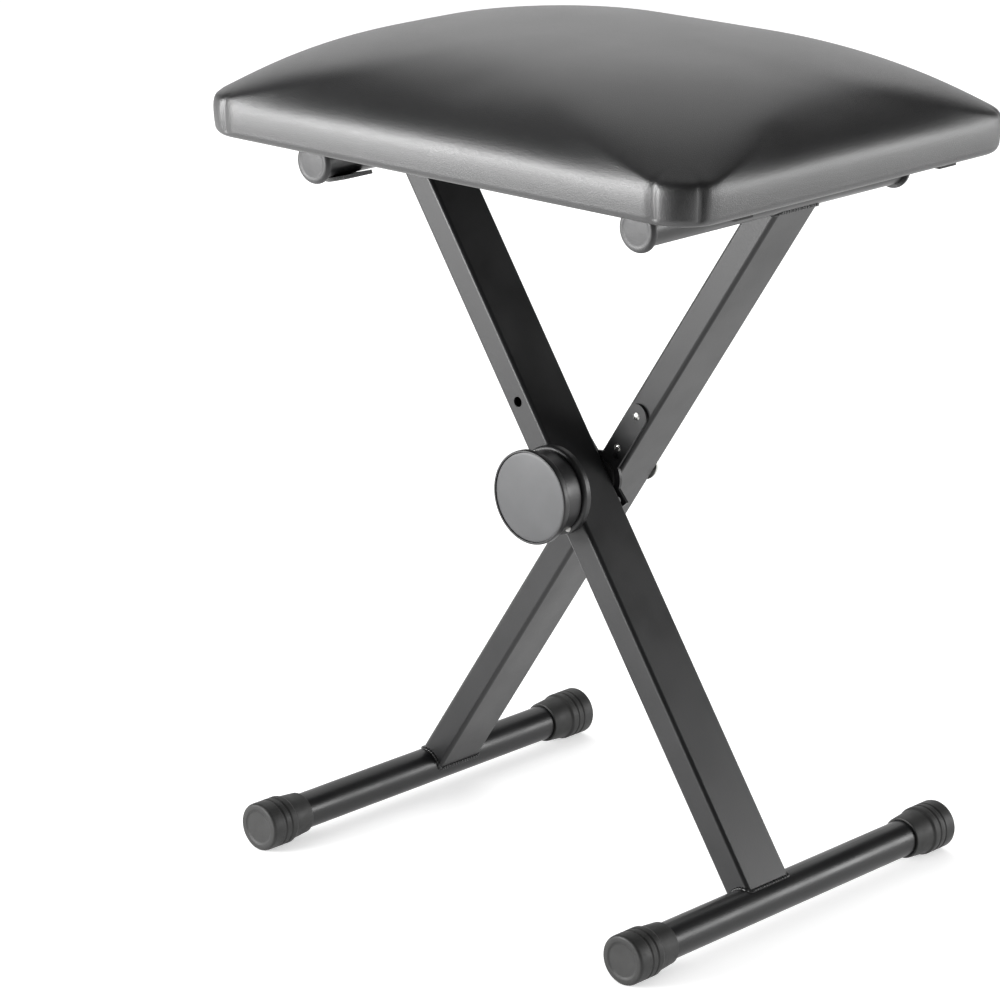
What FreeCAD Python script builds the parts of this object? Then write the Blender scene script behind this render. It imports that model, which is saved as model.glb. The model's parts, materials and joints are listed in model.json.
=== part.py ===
import FreeCAD, Part
import math
import os
import Sketcher
from FreeCAD import Placement, Rotation, Vector

# Folding keyboard bench: two crossed tube legs, each with a foot bar and a top bar, turn on one
# pivot bolt behind a spring pull knob. The seat hinges on the left top bar and lies on the right one.
# X runs along the seat's long sides, Y along the bars with -Y at the knob, and Z is up.
# The origin is on the floor under the pivot. Leg A stands on the right and leans to the left.

document = FreeCAD.newDocument("KeyboardBench")
sheet = document.addObject("Spreadsheet::Sheet", "Sizes")

# Driving sizes in millimetres and degrees: alias, value, meaning
SIZES = [
    ("lean_angle", 33.6, "lean of each leg from upright"),
    ("lower_length", 277.0, "pivot to foot bar, along the leg"),
    ("bar_inset", 66.0, "top bar axis from the seat's end"),
    ("leg_width", 38.0, "leg tube across, along Y"),
    ("leg_depth", 19.0, "leg tube in the plane of the fold"),
    ("leg_wall", 1.5, "leg tube wall"),
    ("leg_corner", 2.6, "leg tube outer corner radius"),
    ("leg_gap", 3.8, "space between the two legs"),
    ("foot_dia", 23.0, "foot bar tube diameter"),
    ("foot_wall", 1.5, "foot bar tube wall"),
    ("foot_span", 300.0, "foot bar over its caps"),
    ("cap_dia", 31.0, "foot cap diameter, which stands on the floor"),
    ("cap_body", 20.0, "foot cap, straight part"),
    ("cap_taper", 16.0, "foot cap, tapered part"),
    ("cap_lip", 1.6, "foot cap wall at its thin end"),
    ("cap_end", 5.0, "foot cap end wall"),
    ("cap_edge", 2.0, "foot cap end edge radius"),
    ("cap_fit", 0.05, "radial clearance of a cap or plug on its tube"),
    ("bar_dia", 22.0, "top bar tube diameter"),
    ("bar_wall", 1.5, "top bar tube wall"),
    ("bar_margin", 32.0, "plug end from the seat's long side"),
    ("plug_dia", 27.0, "top bar plug head diameter"),
    ("plug_head", 4.0, "top bar plug head"),
    ("plug_edge", 2.5, "top bar plug head edge radius"),
    ("plug_spigot", 14.0, "top bar plug spigot length"),
    ("plug_wall", 2.0, "top bar plug spigot wall"),
    ("bolt_dia", 8.0, "pivot bolt shank"),
    ("bolt_flats", 13.0, "pivot bolt head and nut across flats"),
    ("bolt_head", 5.3, "pivot bolt head thickness"),
    ("bolt_fit", 0.1, "radial clearance on the pivot bolt"),
    ("sleeve_dia", 12.0, "pivot sleeve outer diameter"),
    ("sleeve_fit", 0.05, "radial clearance of a sleeve in its leg"),
    ("washer_dia", 22.0, "washer under the bolt head"),
    ("washer_thick", 1.6, "washer under the bolt head"),
    ("thrust_dia", 24.0, "plastic washer between the legs"),
    ("nut_thick", 5.0, "lock nut thickness"),
    ("bolt_tail", 0.4, "bolt end proud of the lock nut"),
    ("spring_washer_dia", 19.0, "washer under the lock nut"),
    ("spring_washer_thick", 1.0, "washer under the lock nut"),
    ("plate_thick", 2.0, "index plate thickness"),
    ("plate_dia", 32.0, "index plate round part"),
    ("tongue_width", 15.0, "index plate arms across"),
    ("tongue_reach", 60.0, "riveted end of the index plate from the pivot"),
    ("arm_reach", 24.2, "other ends of the index plate from the pivot"),
    ("inner_rivet", 24.6, "first plate rivet from the pivot"),
    ("outer_rivet", 52.0, "second plate rivet from the pivot"),
    ("rivet_dia", 3.2, "plate rivet shank"),
    ("rivet_head_dia", 5.0, "plate rivet head"),
    ("rivet_head", 0.8, "plate rivet head height"),
    ("rivet_grip", 4.0, "rivet shank inside a leg, past the tube wall"),
    ("pin_circle", 39.0, "circle that the lock pins stand on"),
    ("pin_dia", 4.0, "lock pin"),
    ("pin_hole", 4.5, "guide and index holes"),
    ("pin_short", 0.3, "lock pin tip to index plate"),
    ("pin_socket", 7.4, "lock pin depth in the knob"),
    ("index_step", 15.0, "leg travel from the high to the low setting"),
    ("fold_angle", 106.0, "leg travel from the photographed setting to folded"),
    ("tube_hole", 6.5, "hole in leg A above the knob"),
    ("tube_hole_reach", 58.7, "hole in leg A from the pivot"),
    ("base_dia", 56.0, "knob base"),
    ("base_thick", 5.0, "knob base"),
    ("base_bore", 30.8, "knob base opening"),
    ("base_edge", 2.0, "knob base rim radius"),
    ("base_rivet_circle", 49.6, "rivets that hold the knob base"),
    ("knob_dia", 58.8, "knob rim diameter"),
    ("knob_height", 25.1, "knob face from leg A"),
    ("knob_rim", 4.6, "knob rim along the axis"),
    ("knob_edge", 1.4, "knob rim edge radius"),
    ("knob_waist", 51.0, "knob waist diameter"),
    ("knob_flare", 2.0, "taper from waist to rim"),
    ("knob_boss", 30.0, "knob boss inside the base"),
    ("knob_rest", 0.4, "knob boss to leg A"),
    ("knob_floor", 2.6, "knob boss floor"),
    ("knob_lift", 0.6, "knob waist to knob base"),
    ("knob_bore", 21.0, "knob spring chamber"),
    ("knob_slide_fit", 0.25, "radial clearance of the knob on the bolt"),
    ("face_dia", 55.6, "knob face disc"),
    ("face_thick", 2.6, "knob face disc"),
    ("face_dome", 0.8, "rise of the knob face disc"),
    ("face_fit", 0.1, "clearance round the knob face disc"),
    ("spring_wire", 1.1, "knob spring wire"),
    ("spring_dia", 16.0, "knob spring over its wire"),
    ("spring_turns", 4.0, "knob spring turns"),
    ("seat_length", 392.0, "seat along X"),
    ("seat_width", 300.0, "seat along Y"),
    ("seat_corner", 27.0, "seat corner radius in plan"),
    ("seat_gap", 16.3, "top bar axis to the underside of the seat"),
    ("seat_band", 20.0, "upright side of the seat cover"),
    ("seat_crown", 43.0, "rise of the seat above its side"),
    ("seat_roll", 4.0, "rounding of the lower edge of the cover"),
    ("crown_plan_power", 3.0, "how square the crown's level lines are"),
    ("crown_rise_power", 0.48, "how full the crown's shoulder is"),
    ("cover_thick", 1.2, "seat cover thickness"),
    ("cover_margin", 30.0, "seat cover folded under the board"),
    ("soft_fit", 0.3, "clearance inside the seat cover"),
    ("level_step", 1.0, "least height between two level lines of the seat"),
    ("board_thick", 12.0, "seat board"),
    ("dust_thick", 0.6, "dust cover"),
    ("dust_inset", 14.0, "dust cover edge from the seat edge"),
    ("bracket_inset", 57.0, "middle of a bracket from the seat's long side"),
    ("strap", 2.5, "bracket steel thickness"),
    ("hook_width", 24.0, "hinge hook along Y"),
    ("hook_flange", 46.0, "hinge hook flange past the bar axis"),
    ("hook_wrap", 285.0, "angle at which the hook's curve ends"),
    ("hook_lip", 12.0, "straight lip of the hinge hook"),
    ("hinge_fit", 0.3, "clearance between a top bar and what it bears on"),
    ("saddle_length", 20.0, "saddle pad along X"),
    ("saddle_width", 22.0, "saddle pad along Y"),
    ("rest_width", 38.0, "rest bracket along Y"),
    ("rest_reach", 58.0, "rest bracket past the bar axis"),
    ("rest_stop_gap", 1.0, "bar to the rest bracket's stop"),
    ("rest_stop_drop", 9.0, "stop below the bar axis"),
    ("rest_pad_width", 16.0, "rest pad along Y"),
    ("screw_dia", 4.0, "bracket screw shank"),
    ("screw_head_dia", 8.0, "bracket screw head"),
    ("screw_head", 1.4, "bracket screw head height"),
    ("screw_length", 13.6, "bracket screw under its head"),
    ("screw_fit", 0.1, "radial clearance round a screw"),
    ("hook_screw_first", 24.0, "first hook screw from the bar axis"),
    ("hook_screw_second", 38.0, "second hook screw from the bar axis"),
    ("rest_screw_side", 13.4, "rest screws from the bracket's middle"),
    ("rest_screw_first", 6.0, "first rest screw from the bar axis"),
    ("rest_screw_second", 33.0, "second rest screw from the bar axis"),
    ("staple_crown", 10.0, "staple across"),
    ("staple_wire", 0.8, "staple wire"),
    ("staple_inset", 5.0, "staples from the dust cover edge"),
    ("staple_spacing", 38.0, "target distance between staples"),
]


class Size:
    """A length or angle that carries both its formula in sheet aliases and its number."""

    def __init__(self, formula, number):
        self.formula = formula
        self.number = number

    def _join(self, sign, other, number):
        return Size("(" + self.formula + " " + sign + " " + other.formula + ")", number)

    def __add__(self, other):
        other = as_size(other)
        return self._join("+", other, self.number + other.number)

    def __radd__(self, other):
        return as_size(other) + self

    def __sub__(self, other):
        other = as_size(other)
        return self._join("-", other, self.number - other.number)

    def __rsub__(self, other):
        return as_size(other) - self

    def __mul__(self, other):
        other = as_size(other)
        return self._join("*", other, self.number * other.number)

    def __rmul__(self, other):
        return as_size(other) * self

    def __truediv__(self, other):
        other = as_size(other)
        return self._join("/", other, self.number / other.number)

    def __neg__(self):
        return as_size(-1) * self


def as_size(value):
    """Wrap a plain number as a Size."""
    if isinstance(value, Size):
        return value
    return Size("(" + repr(value) + ")", float(value))


def sine(angle):
    """Sine of a Size in degrees."""
    return Size("sin(" + angle.formula + ")", math.sin(math.radians(angle.number)))


def cosine(angle):
    """Cosine of a Size in degrees."""
    return Size("cos(" + angle.formula + ")", math.cos(math.radians(angle.number)))


def root(value):
    """Square root of a Size."""
    return Size("sqrt(" + value.formula + ")", math.sqrt(value.number))


def fill_sheet():
    """Write the driving sizes into the sheet, one row each, and return them as Size objects."""
    found = {}
    for row, (alias, value, meaning) in enumerate(SIZES, start=1):
        sheet.set("A%d" % row, meaning)
        sheet.set("B%d" % row, str(value))
        sheet.setAlias("B%d" % row, alias)
        found[alias] = Size("Sizes." + alias, value)
    document.recompute()
    return found


size = fill_sheet()
ZERO = as_size(0)

# Places that follow from the driving sizes
lean = size["lean_angle"]
foot_x = size["lower_length"] * sine(lean)
foot_z = size["cap_dia"] / 2
pivot_z = foot_z + size["lower_length"] * cosine(lean)
bar_x = size["seat_length"] / 2 - size["bar_inset"]
upper_length = bar_x / sine(lean)
bar_z = pivot_z + upper_length * cosine(lean)
bar_half = size["seat_width"] / 2 - size["bar_margin"]
bracket_y = size["seat_width"] / 2 - size["bracket_inset"]
leg_y = (size["leg_gap"] + size["leg_width"]) / 2
inner_y = size["leg_gap"] / 2
outer_y = inner_y + size["leg_width"]
seat_z = bar_z + size["seat_gap"]
flange_top = size["seat_gap"] - size["dust_thick"]
flange_low = flange_top - size["strap"]
bearing_radius = size["bar_dia"] / 2 + size["hinge_fit"]
pin_radius = size["pin_circle"] / 2
bolt_hole = size["bolt_dia"] + 2 * size["bolt_fit"]
parts = []


def bind(thing, prop, value):
    """Bind one property of a document object to a Size."""
    thing.setExpression(prop, as_size(value).formula)


def place(thing, x=ZERO, y=ZERO, z=ZERO, turn=None):
    """Bind a sub-part's place, and its turn about Y in degrees."""
    if turn is not None:
        thing.Placement = Placement(Vector(), Rotation(Vector(0, 1, 0), as_size(turn).number))
        bind(thing, "Placement.Rotation.Angle", turn)
    bind(thing, "Placement.Base.x", x)
    bind(thing, "Placement.Base.y", y)
    bind(thing, "Placement.Base.z", z)


def new_body(label):
    """Start a sub-part that is modelled as one body."""
    body = document.addObject("PartDesign::Body", label)
    body.Label = label
    parts.append(body)
    return body


def code_part(label, shape):
    """Add a sub-part whose shape is worked out here, for lofts, springs and fastener groups."""
    feature = document.addObject("Part::Feature", label)
    feature.Label = label
    feature.Shape = shape
    parts.append(feature)
    return feature


def sketch_on(body, role, name):
    """Add a sketch on one of the body's own origin planes."""
    plane = [item for item in body.Origin.OriginFeatures if item.Role == role][0]
    sketch = body.newObject("Sketcher::SketchObject", name)
    sketch.AttachmentSupport = (plane, [""])
    sketch.MapMode = "FlatFace"
    return sketch


def pin_point(sketch, geometry, vertex, x=None, y=None):
    """Bind the coordinates of one sketch point."""
    for kind, value in (("DistanceX", x), ("DistanceY", y)):
        if value is None:
            continue
        value = as_size(value)
        rule = Sketcher.Constraint(kind, -1, 1, geometry, vertex, value.number)
        index = sketch.addConstraint(rule)
        sketch.setExpression("Constraints[%d]" % index, value.formula)


def draw_circle(sketch, diameter, x=ZERO, y=ZERO):
    """Draw a circle of a bound diameter at a bound place."""
    middle = Vector(as_size(x).number, as_size(y).number, 0)
    circle = Part.Circle(middle, Vector(0, 0, 1), diameter.number / 2)
    index = sketch.addGeometry(circle)
    rule = sketch.addConstraint(Sketcher.Constraint("Diameter", index, diameter.number))
    sketch.setExpression("Constraints[%d]" % rule, diameter.formula)
    pin_point(sketch, index, 3, x, y)


def arc_between(start, end, centre, sweep):
    """Make an arc from start to end about centre, turning left when sweep is 1, right when -1."""
    radius = (start - centre).Length
    first = math.atan2(start.y - centre.y, start.x - centre.x)
    last = math.atan2(end.y - centre.y, end.x - centre.x)
    circle = Part.Circle(centre, Vector(0, 0, 1), radius)
    if sweep < 0:
        first, last = last, first
    return Part.ArcOfCircle(circle, first, last)


def draw_outline(sketch, steps):
    """Draw a closed outline of lines and arcs.

    A step (x, y) is a corner reached by a line. A step (x, y, cx, cy, sweep) is reached by an arc
    about (cx, cy). The start and centre fix the arc's radius, so only one coordinate of its end is
    bound: the one that the arc runs along there.
    """
    spots = [Vector(as_size(step[0]).number, as_size(step[1]).number, 0) for step in steps]
    pieces = []
    for number, step in enumerate(steps):
        start = spots[number - 1]
        end = spots[number]
        if len(step) == 2:
            index = sketch.addGeometry(Part.LineSegment(start, end))
            pieces.append((index, 1, 2))
            continue
        centre = Vector(as_size(step[2]).number, as_size(step[3]).number, 0)
        index = sketch.addGeometry(arc_between(start, end, centre, step[4]))
        pieces.append((index, 1, 2) if step[4] > 0 else (index, 2, 1))
        pin_point(sketch, index, 3, step[2], step[3])
    for number, piece in enumerate(pieces):
        following = pieces[(number + 1) % len(pieces)]
        joint = Sketcher.Constraint("Coincident", piece[0], piece[2], following[0], following[1])
        sketch.addConstraint(joint)
    for number, piece in enumerate(pieces):
        step = steps[number]
        if len(step) == 2:
            pin_point(sketch, piece[0], piece[2], step[0], step[1])
            continue
        away_x = abs(as_size(step[0]).number - as_size(step[2]).number)
        away_y = abs(as_size(step[1]).number - as_size(step[3]).number)
        if away_x > away_y:
            pin_point(sketch, piece[0], piece[2], None, step[1])
        else:
            pin_point(sketch, piece[0], piece[2], step[0], None)


def draw_rectangle(sketch, low_x, low_y, high_x, high_y):
    """Draw a rectangle between two bound corners."""
    draw_outline(sketch, [(low_x, low_y), (high_x, low_y), (high_x, high_y), (low_x, high_y)])


def pad(body, sketch, length, name, midplane=True, backwards=False):
    """Extrude a sketch, about its plane unless told otherwise."""
    feature = body.newObject("PartDesign::Pad", name)
    feature.Profile = sketch
    feature.Midplane = midplane
    feature.Reversed = backwards
    bind(feature, "Length", length)
    return feature


def cut_through(body, sketch, name):
    """Cut a sketch through the whole body, both ways."""
    feature = body.newObject("PartDesign::Pocket", name)
    feature.Profile = sketch
    feature.Type = "ThroughAll"
    feature.Midplane = True
    return feature


def cut_one_way(body, sketch, depth, name, backwards=False):
    """Cut a sketch to a bound depth on one side of its plane and check that it removed metal."""
    document.recompute()
    before = body.Shape.Volume
    feature = body.newObject("PartDesign::Pocket", name)
    feature.Profile = sketch
    feature.Reversed = backwards
    bind(feature, "Length", depth)
    document.recompute()
    if body.Shape.Volume >= before:
        raise RuntimeError(name + " cut nothing")
    return feature


def turned_body(label, outline):
    """Turn a closed outline of (y, radius) corners about the body's Y axis."""
    body = new_body(label)
    sketch = sketch_on(body, "YZ_Plane", label + "_outline")
    draw_outline(sketch, outline)
    feature = body.newObject("PartDesign::Revolution", label + "_turn")
    feature.Profile = sketch
    feature.ReferenceAxis = (sketch, ["H_Axis"])
    feature.Angle = 360
    return body


def ring(label, start, end, bore, outside):
    """Make a plain ring or tube along Y between two places, from its two diameters."""
    return turned_body(label, [
        (start, bore / 2),
        (end, bore / 2),
        (end, outside / 2),
        (start, outside / 2),
    ])


def cut_cross_holes(body, name, holes):
    """Cut round holes along Y, each given as (diameter, x, z), through the whole body."""
    sketch = sketch_on(body, "XZ_Plane", name + "_places")
    for diameter, x, z in holes:
        draw_circle(sketch, diameter, x, z)
    return cut_through(body, sketch, name)


def round_long_edges(body, radius, name):
    """Round the straight edges that run the whole length of a leg."""
    document.recompute()
    base = body.Tip
    edges = []
    longest = max(edge.Length for edge in body.Shape.Edges)
    for number, edge in enumerate(body.Shape.Edges, start=1):
        if edge.Length > 0.9 * longest:
            edges.append("Edge%d" % number)
    feature = body.newObject("PartDesign::Fillet", name)
    feature.Base = (base, edges)
    bind(feature, "Radius", radius)
    return feature


def leg_tube(label, side, turn):
    """Make a rectangular leg tube, saddled over its foot bar and under its top bar.

    Its own Z runs from the foot bar's axis to the top bar's axis.
    """
    body = new_body(label)
    reach = size["lower_length"] + upper_length
    outer = sketch_on(body, "XY_Plane", label + "_outside")
    half_depth = size["leg_depth"] / 2
    half_width = size["leg_width"] / 2
    draw_rectangle(outer, -half_depth, -half_width, half_depth, half_width)
    pad(body, outer, reach, label + "_pad", midplane=False)
    round_long_edges(body, size["leg_corner"], label + "_corners")
    inner = sketch_on(body, "XY_Plane", label + "_inside")
    inner_depth = half_depth - size["leg_wall"]
    inner_width = half_width - size["leg_wall"]
    draw_rectangle(inner, -inner_depth, -inner_width, inner_depth, inner_width)
    cut_through(body, inner, label + "_bore")
    cut_cross_holes(body, label + "_saddles", [
        (size["foot_dia"], ZERO, ZERO),
        (size["bar_dia"], ZERO, reach),
    ])
    cut_cross_holes(body, label + "_pivot_hole", [
        (size["sleeve_dia"] + 2 * size["sleeve_fit"], ZERO, size["lower_length"]),
    ])
    place(body, -side * foot_x, side * leg_y, foot_z, turn)
    return body


def build_legs():
    """Make both leg tubes and drill them for the lock pins and the rivets."""
    pivot = size["lower_length"]
    leg_a = leg_tube("leg_a_tube", -1, -lean)
    cut_cross_holes(leg_a, "leg_a_pin_holes", [
        (size["pin_hole"], ZERO, pivot + pin_radius),
        (size["pin_hole"], ZERO, pivot - pin_radius),
    ])
    front_holes = sketch_on(leg_a, "XZ_Plane", "leg_a_front_hole_places")
    draw_circle(front_holes, size["tube_hole"], ZERO, pivot + size["tube_hole_reach"])
    for way in (1, -1):
        draw_circle(front_holes, size["rivet_dia"], ZERO, pivot + way * size["base_rivet_circle"] / 2)
    cut_one_way(leg_a, front_holes, size["leg_width"], "leg_a_front_holes", backwards=True)
    leg_b = leg_tube("leg_b_tube", 1, lean)
    rivet_holes = sketch_on(leg_b, "XZ_Plane", "leg_b_rivet_hole_places")
    for reach in (size["inner_rivet"], size["outer_rivet"]):
        draw_circle(rivet_holes, size["rivet_dia"], ZERO, pivot + reach)
    cut_one_way(leg_b, rivet_holes, size["leg_width"], "leg_b_rivet_holes", backwards=True)


def foot_bar(letter, side):
    """Make a foot bar and its two rubber caps."""
    x = -side * foot_x
    half = size["foot_span"] / 2
    tube_end = half - size["cap_end"]
    bore = size["foot_dia"] - 2 * size["foot_wall"]
    bar = ring("foot_bar_" + letter, -tube_end, tube_end, bore, size["foot_dia"])
    place(bar, x, ZERO, foot_z)
    seat_radius = size["foot_dia"] / 2 + size["cap_fit"]
    edge = size["cap_edge"]
    radius = size["cap_dia"] / 2
    for way, name in ((-1, "front"), (1, "rear")):
        tip = way * half
        shoulder = way * (half - size["cap_body"])
        mouth = way * (half - size["cap_body"] - size["cap_taper"])
        cap = turned_body("foot_cap_" + letter + "_" + name, [
            (tip, ZERO),
            (tip, radius - edge),
            (way * (half - edge), radius, way * (half - edge), radius - edge, way),
            (shoulder, radius),
            (mouth, seat_radius + size["cap_lip"]),
            (mouth, seat_radius),
            (way * tube_end, seat_radius),
            (way * tube_end, ZERO),
        ])
        place(cap, x, ZERO, foot_z)


def top_bar(letter, side):
    """Make a top bar and the domed plugs that close its ends."""
    x = side * bar_x
    tube_end = bar_half - size["plug_head"]
    bore = size["bar_dia"] - 2 * size["bar_wall"]
    bar = ring("top_bar_" + letter, -tube_end, tube_end, bore, size["bar_dia"])
    place(bar, x, ZERO, bar_z)
    radius = size["plug_dia"] / 2
    edge = size["plug_edge"]
    spigot = bore / 2 - size["cap_fit"]
    for way, name in ((-1, "front"), (1, "rear")):
        deep = way * (tube_end - size["plug_spigot"])
        hollow = spigot - size["plug_wall"]
        plug = turned_body("top_plug_" + letter + "_" + name, [
            (way * bar_half, ZERO),
            (way * bar_half, radius - edge),
            (way * (bar_half - edge), radius, way * (bar_half - edge), radius - edge, way),
            (way * tube_end, radius),
            (way * tube_end, spigot),
            (deep, spigot),
            (deep, hollow),
            (way * tube_end, hollow),
            (way * tube_end, ZERO),
        ])
        place(plug, x, ZERO, bar_z)


def hexagon(across_flats, start, end):
    """Make a hexagonal prism along Y."""
    corner = across_flats / math.sqrt(3)
    steps = range(7)
    points = [
        Vector(corner * math.cos(math.pi * step / 3), start, corner * math.sin(math.pi * step / 3))
        for step in steps
    ]
    return Part.Face(Part.makePolygon(points)).extrude(Vector(0, end - start, 0))


def cylinder_along_y(diameter, start, end, x=0.0, z=0.0):
    """Make a cylinder along Y between two places."""
    return Part.makeCylinder(diameter / 2, abs(end - start), Vector(x, min(start, end), z), Vector(0, 1, 0))


def build_pivot():
    """Make the bolt, sleeves, washers and lock nut that the legs turn on."""
    nut_front = -(outer_y + size["knob_height"] - size["face_thick"] - size["bolt_tail"] - size["face_fit"])
    nut_back = nut_front + size["nut_thick"]
    spring_end = nut_back + size["spring_washer_thick"]
    head_low = outer_y + size["washer_thick"]
    shank = cylinder_along_y(
        size["bolt_dia"].number, (nut_front - size["bolt_tail"]).number, head_low.number
    )
    head = hexagon(size["bolt_flats"].number, head_low.number, (head_low + size["bolt_head"]).number)
    bolt = code_part("pivot_bolt", shank.fuse(head).removeSplitter())
    place(bolt, ZERO, ZERO, pivot_z, -lean)
    nut = hexagon(size["bolt_flats"].number, nut_front.number, nut_back.number)
    nut = nut.cut(cylinder_along_y(size["bolt_dia"].number, nut_front.number, nut_back.number))
    place(code_part("lock_nut", nut), ZERO, ZERO, pivot_z, -lean)
    rings = [
        ("head_washer", outer_y, head_low, bolt_hole, size["washer_dia"]),
        ("pivot_sleeve_a", -outer_y, -inner_y, bolt_hole, size["sleeve_dia"]),
        ("pivot_sleeve_b", inner_y, outer_y, bolt_hole, size["sleeve_dia"]),
        ("thrust_washer", -inner_y, inner_y - size["plate_thick"], bolt_hole, size["thrust_dia"]),
        ("spring_washer", nut_back, spring_end, bolt_hole, size["spring_washer_dia"]),
    ]
    for label, start, end, bore, outside in rings:
        place(ring(label, start, end, bore, outside), ZERO, ZERO, pivot_z, -lean)
    return spring_end


def rivet(shank_dia, head_dia, x, z, outside, inside, head):
    """Make a blind rivet along Y: a low head outside the sheet and a shank to the inside."""
    way = 1 if inside > outside else -1
    shank = cylinder_along_y(shank_dia, outside, inside, x, z)
    cap = cylinder_along_y(head_dia, outside - way * head, outside, x, z)
    return shank.fuse(cap).removeSplitter()


def build_index_plate():
    """Make the plate with the height holes on leg B, its rivets, and the knob base on leg A."""
    plate = new_body("index_plate")
    front = inner_y - size["plate_thick"]
    disc = sketch_on(plate, "XZ_Plane", "plate_disc")
    draw_circle(disc, size["plate_dia"])
    pad(plate, disc, size["plate_thick"], "plate_disc_pad")
    tongue = sketch_on(plate, "XZ_Plane", "plate_tongue")
    half = size["tongue_width"] / 2
    top = size["tongue_reach"] - half
    draw_outline(tongue, [
        (-half, -size["arm_reach"]),
        (half, -size["arm_reach"]),
        (half, top),
        (-half, top, ZERO, top, 1),
    ])
    pad(plate, tongue, size["plate_thick"], "plate_tongue_pad")
    turn = 2 * lean + size["index_step"] / 2
    corners = [
        (side * half * cosine(turn) - end * size["arm_reach"] * sine(turn),
         side * half * sine(turn) + end * size["arm_reach"] * cosine(turn))
        for side, end in ((-1, -1), (1, -1), (1, 1), (-1, 1))
    ]
    arms = sketch_on(plate, "XZ_Plane", "plate_arms")
    draw_outline(arms, corners)
    pad(plate, arms, size["plate_thick"], "plate_arms_pad")
    holes = [(bolt_hole, ZERO, ZERO)]
    for setting in (ZERO, size["index_step"], size["fold_angle"]):
        angle = -2 * lean - setting
        for way in (1, -1):
            across = way * pin_radius * sine(angle)
            holes.append((size["pin_hole"], across, way * pin_radius * cosine(angle)))
    for reach in (size["inner_rivet"], size["outer_rivet"]):
        holes.append((size["rivet_dia"], ZERO, reach))
    cut_cross_holes(plate, "plate_holes", holes)
    middle = (front + inner_y) / 2
    place(plate, ZERO, middle, pivot_z, lean)
    rivets = [
        rivet(size["rivet_dia"].number, size["rivet_head_dia"].number, 0.0, reach.number, front.number,
              (inner_y + size["leg_wall"] + size["rivet_grip"]).number, size["rivet_head"].number)
        for reach in (size["inner_rivet"], size["outer_rivet"])
    ]
    place(code_part("plate_rivets", Part.makeCompound(rivets)), ZERO, ZERO, pivot_z, lean)


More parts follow.
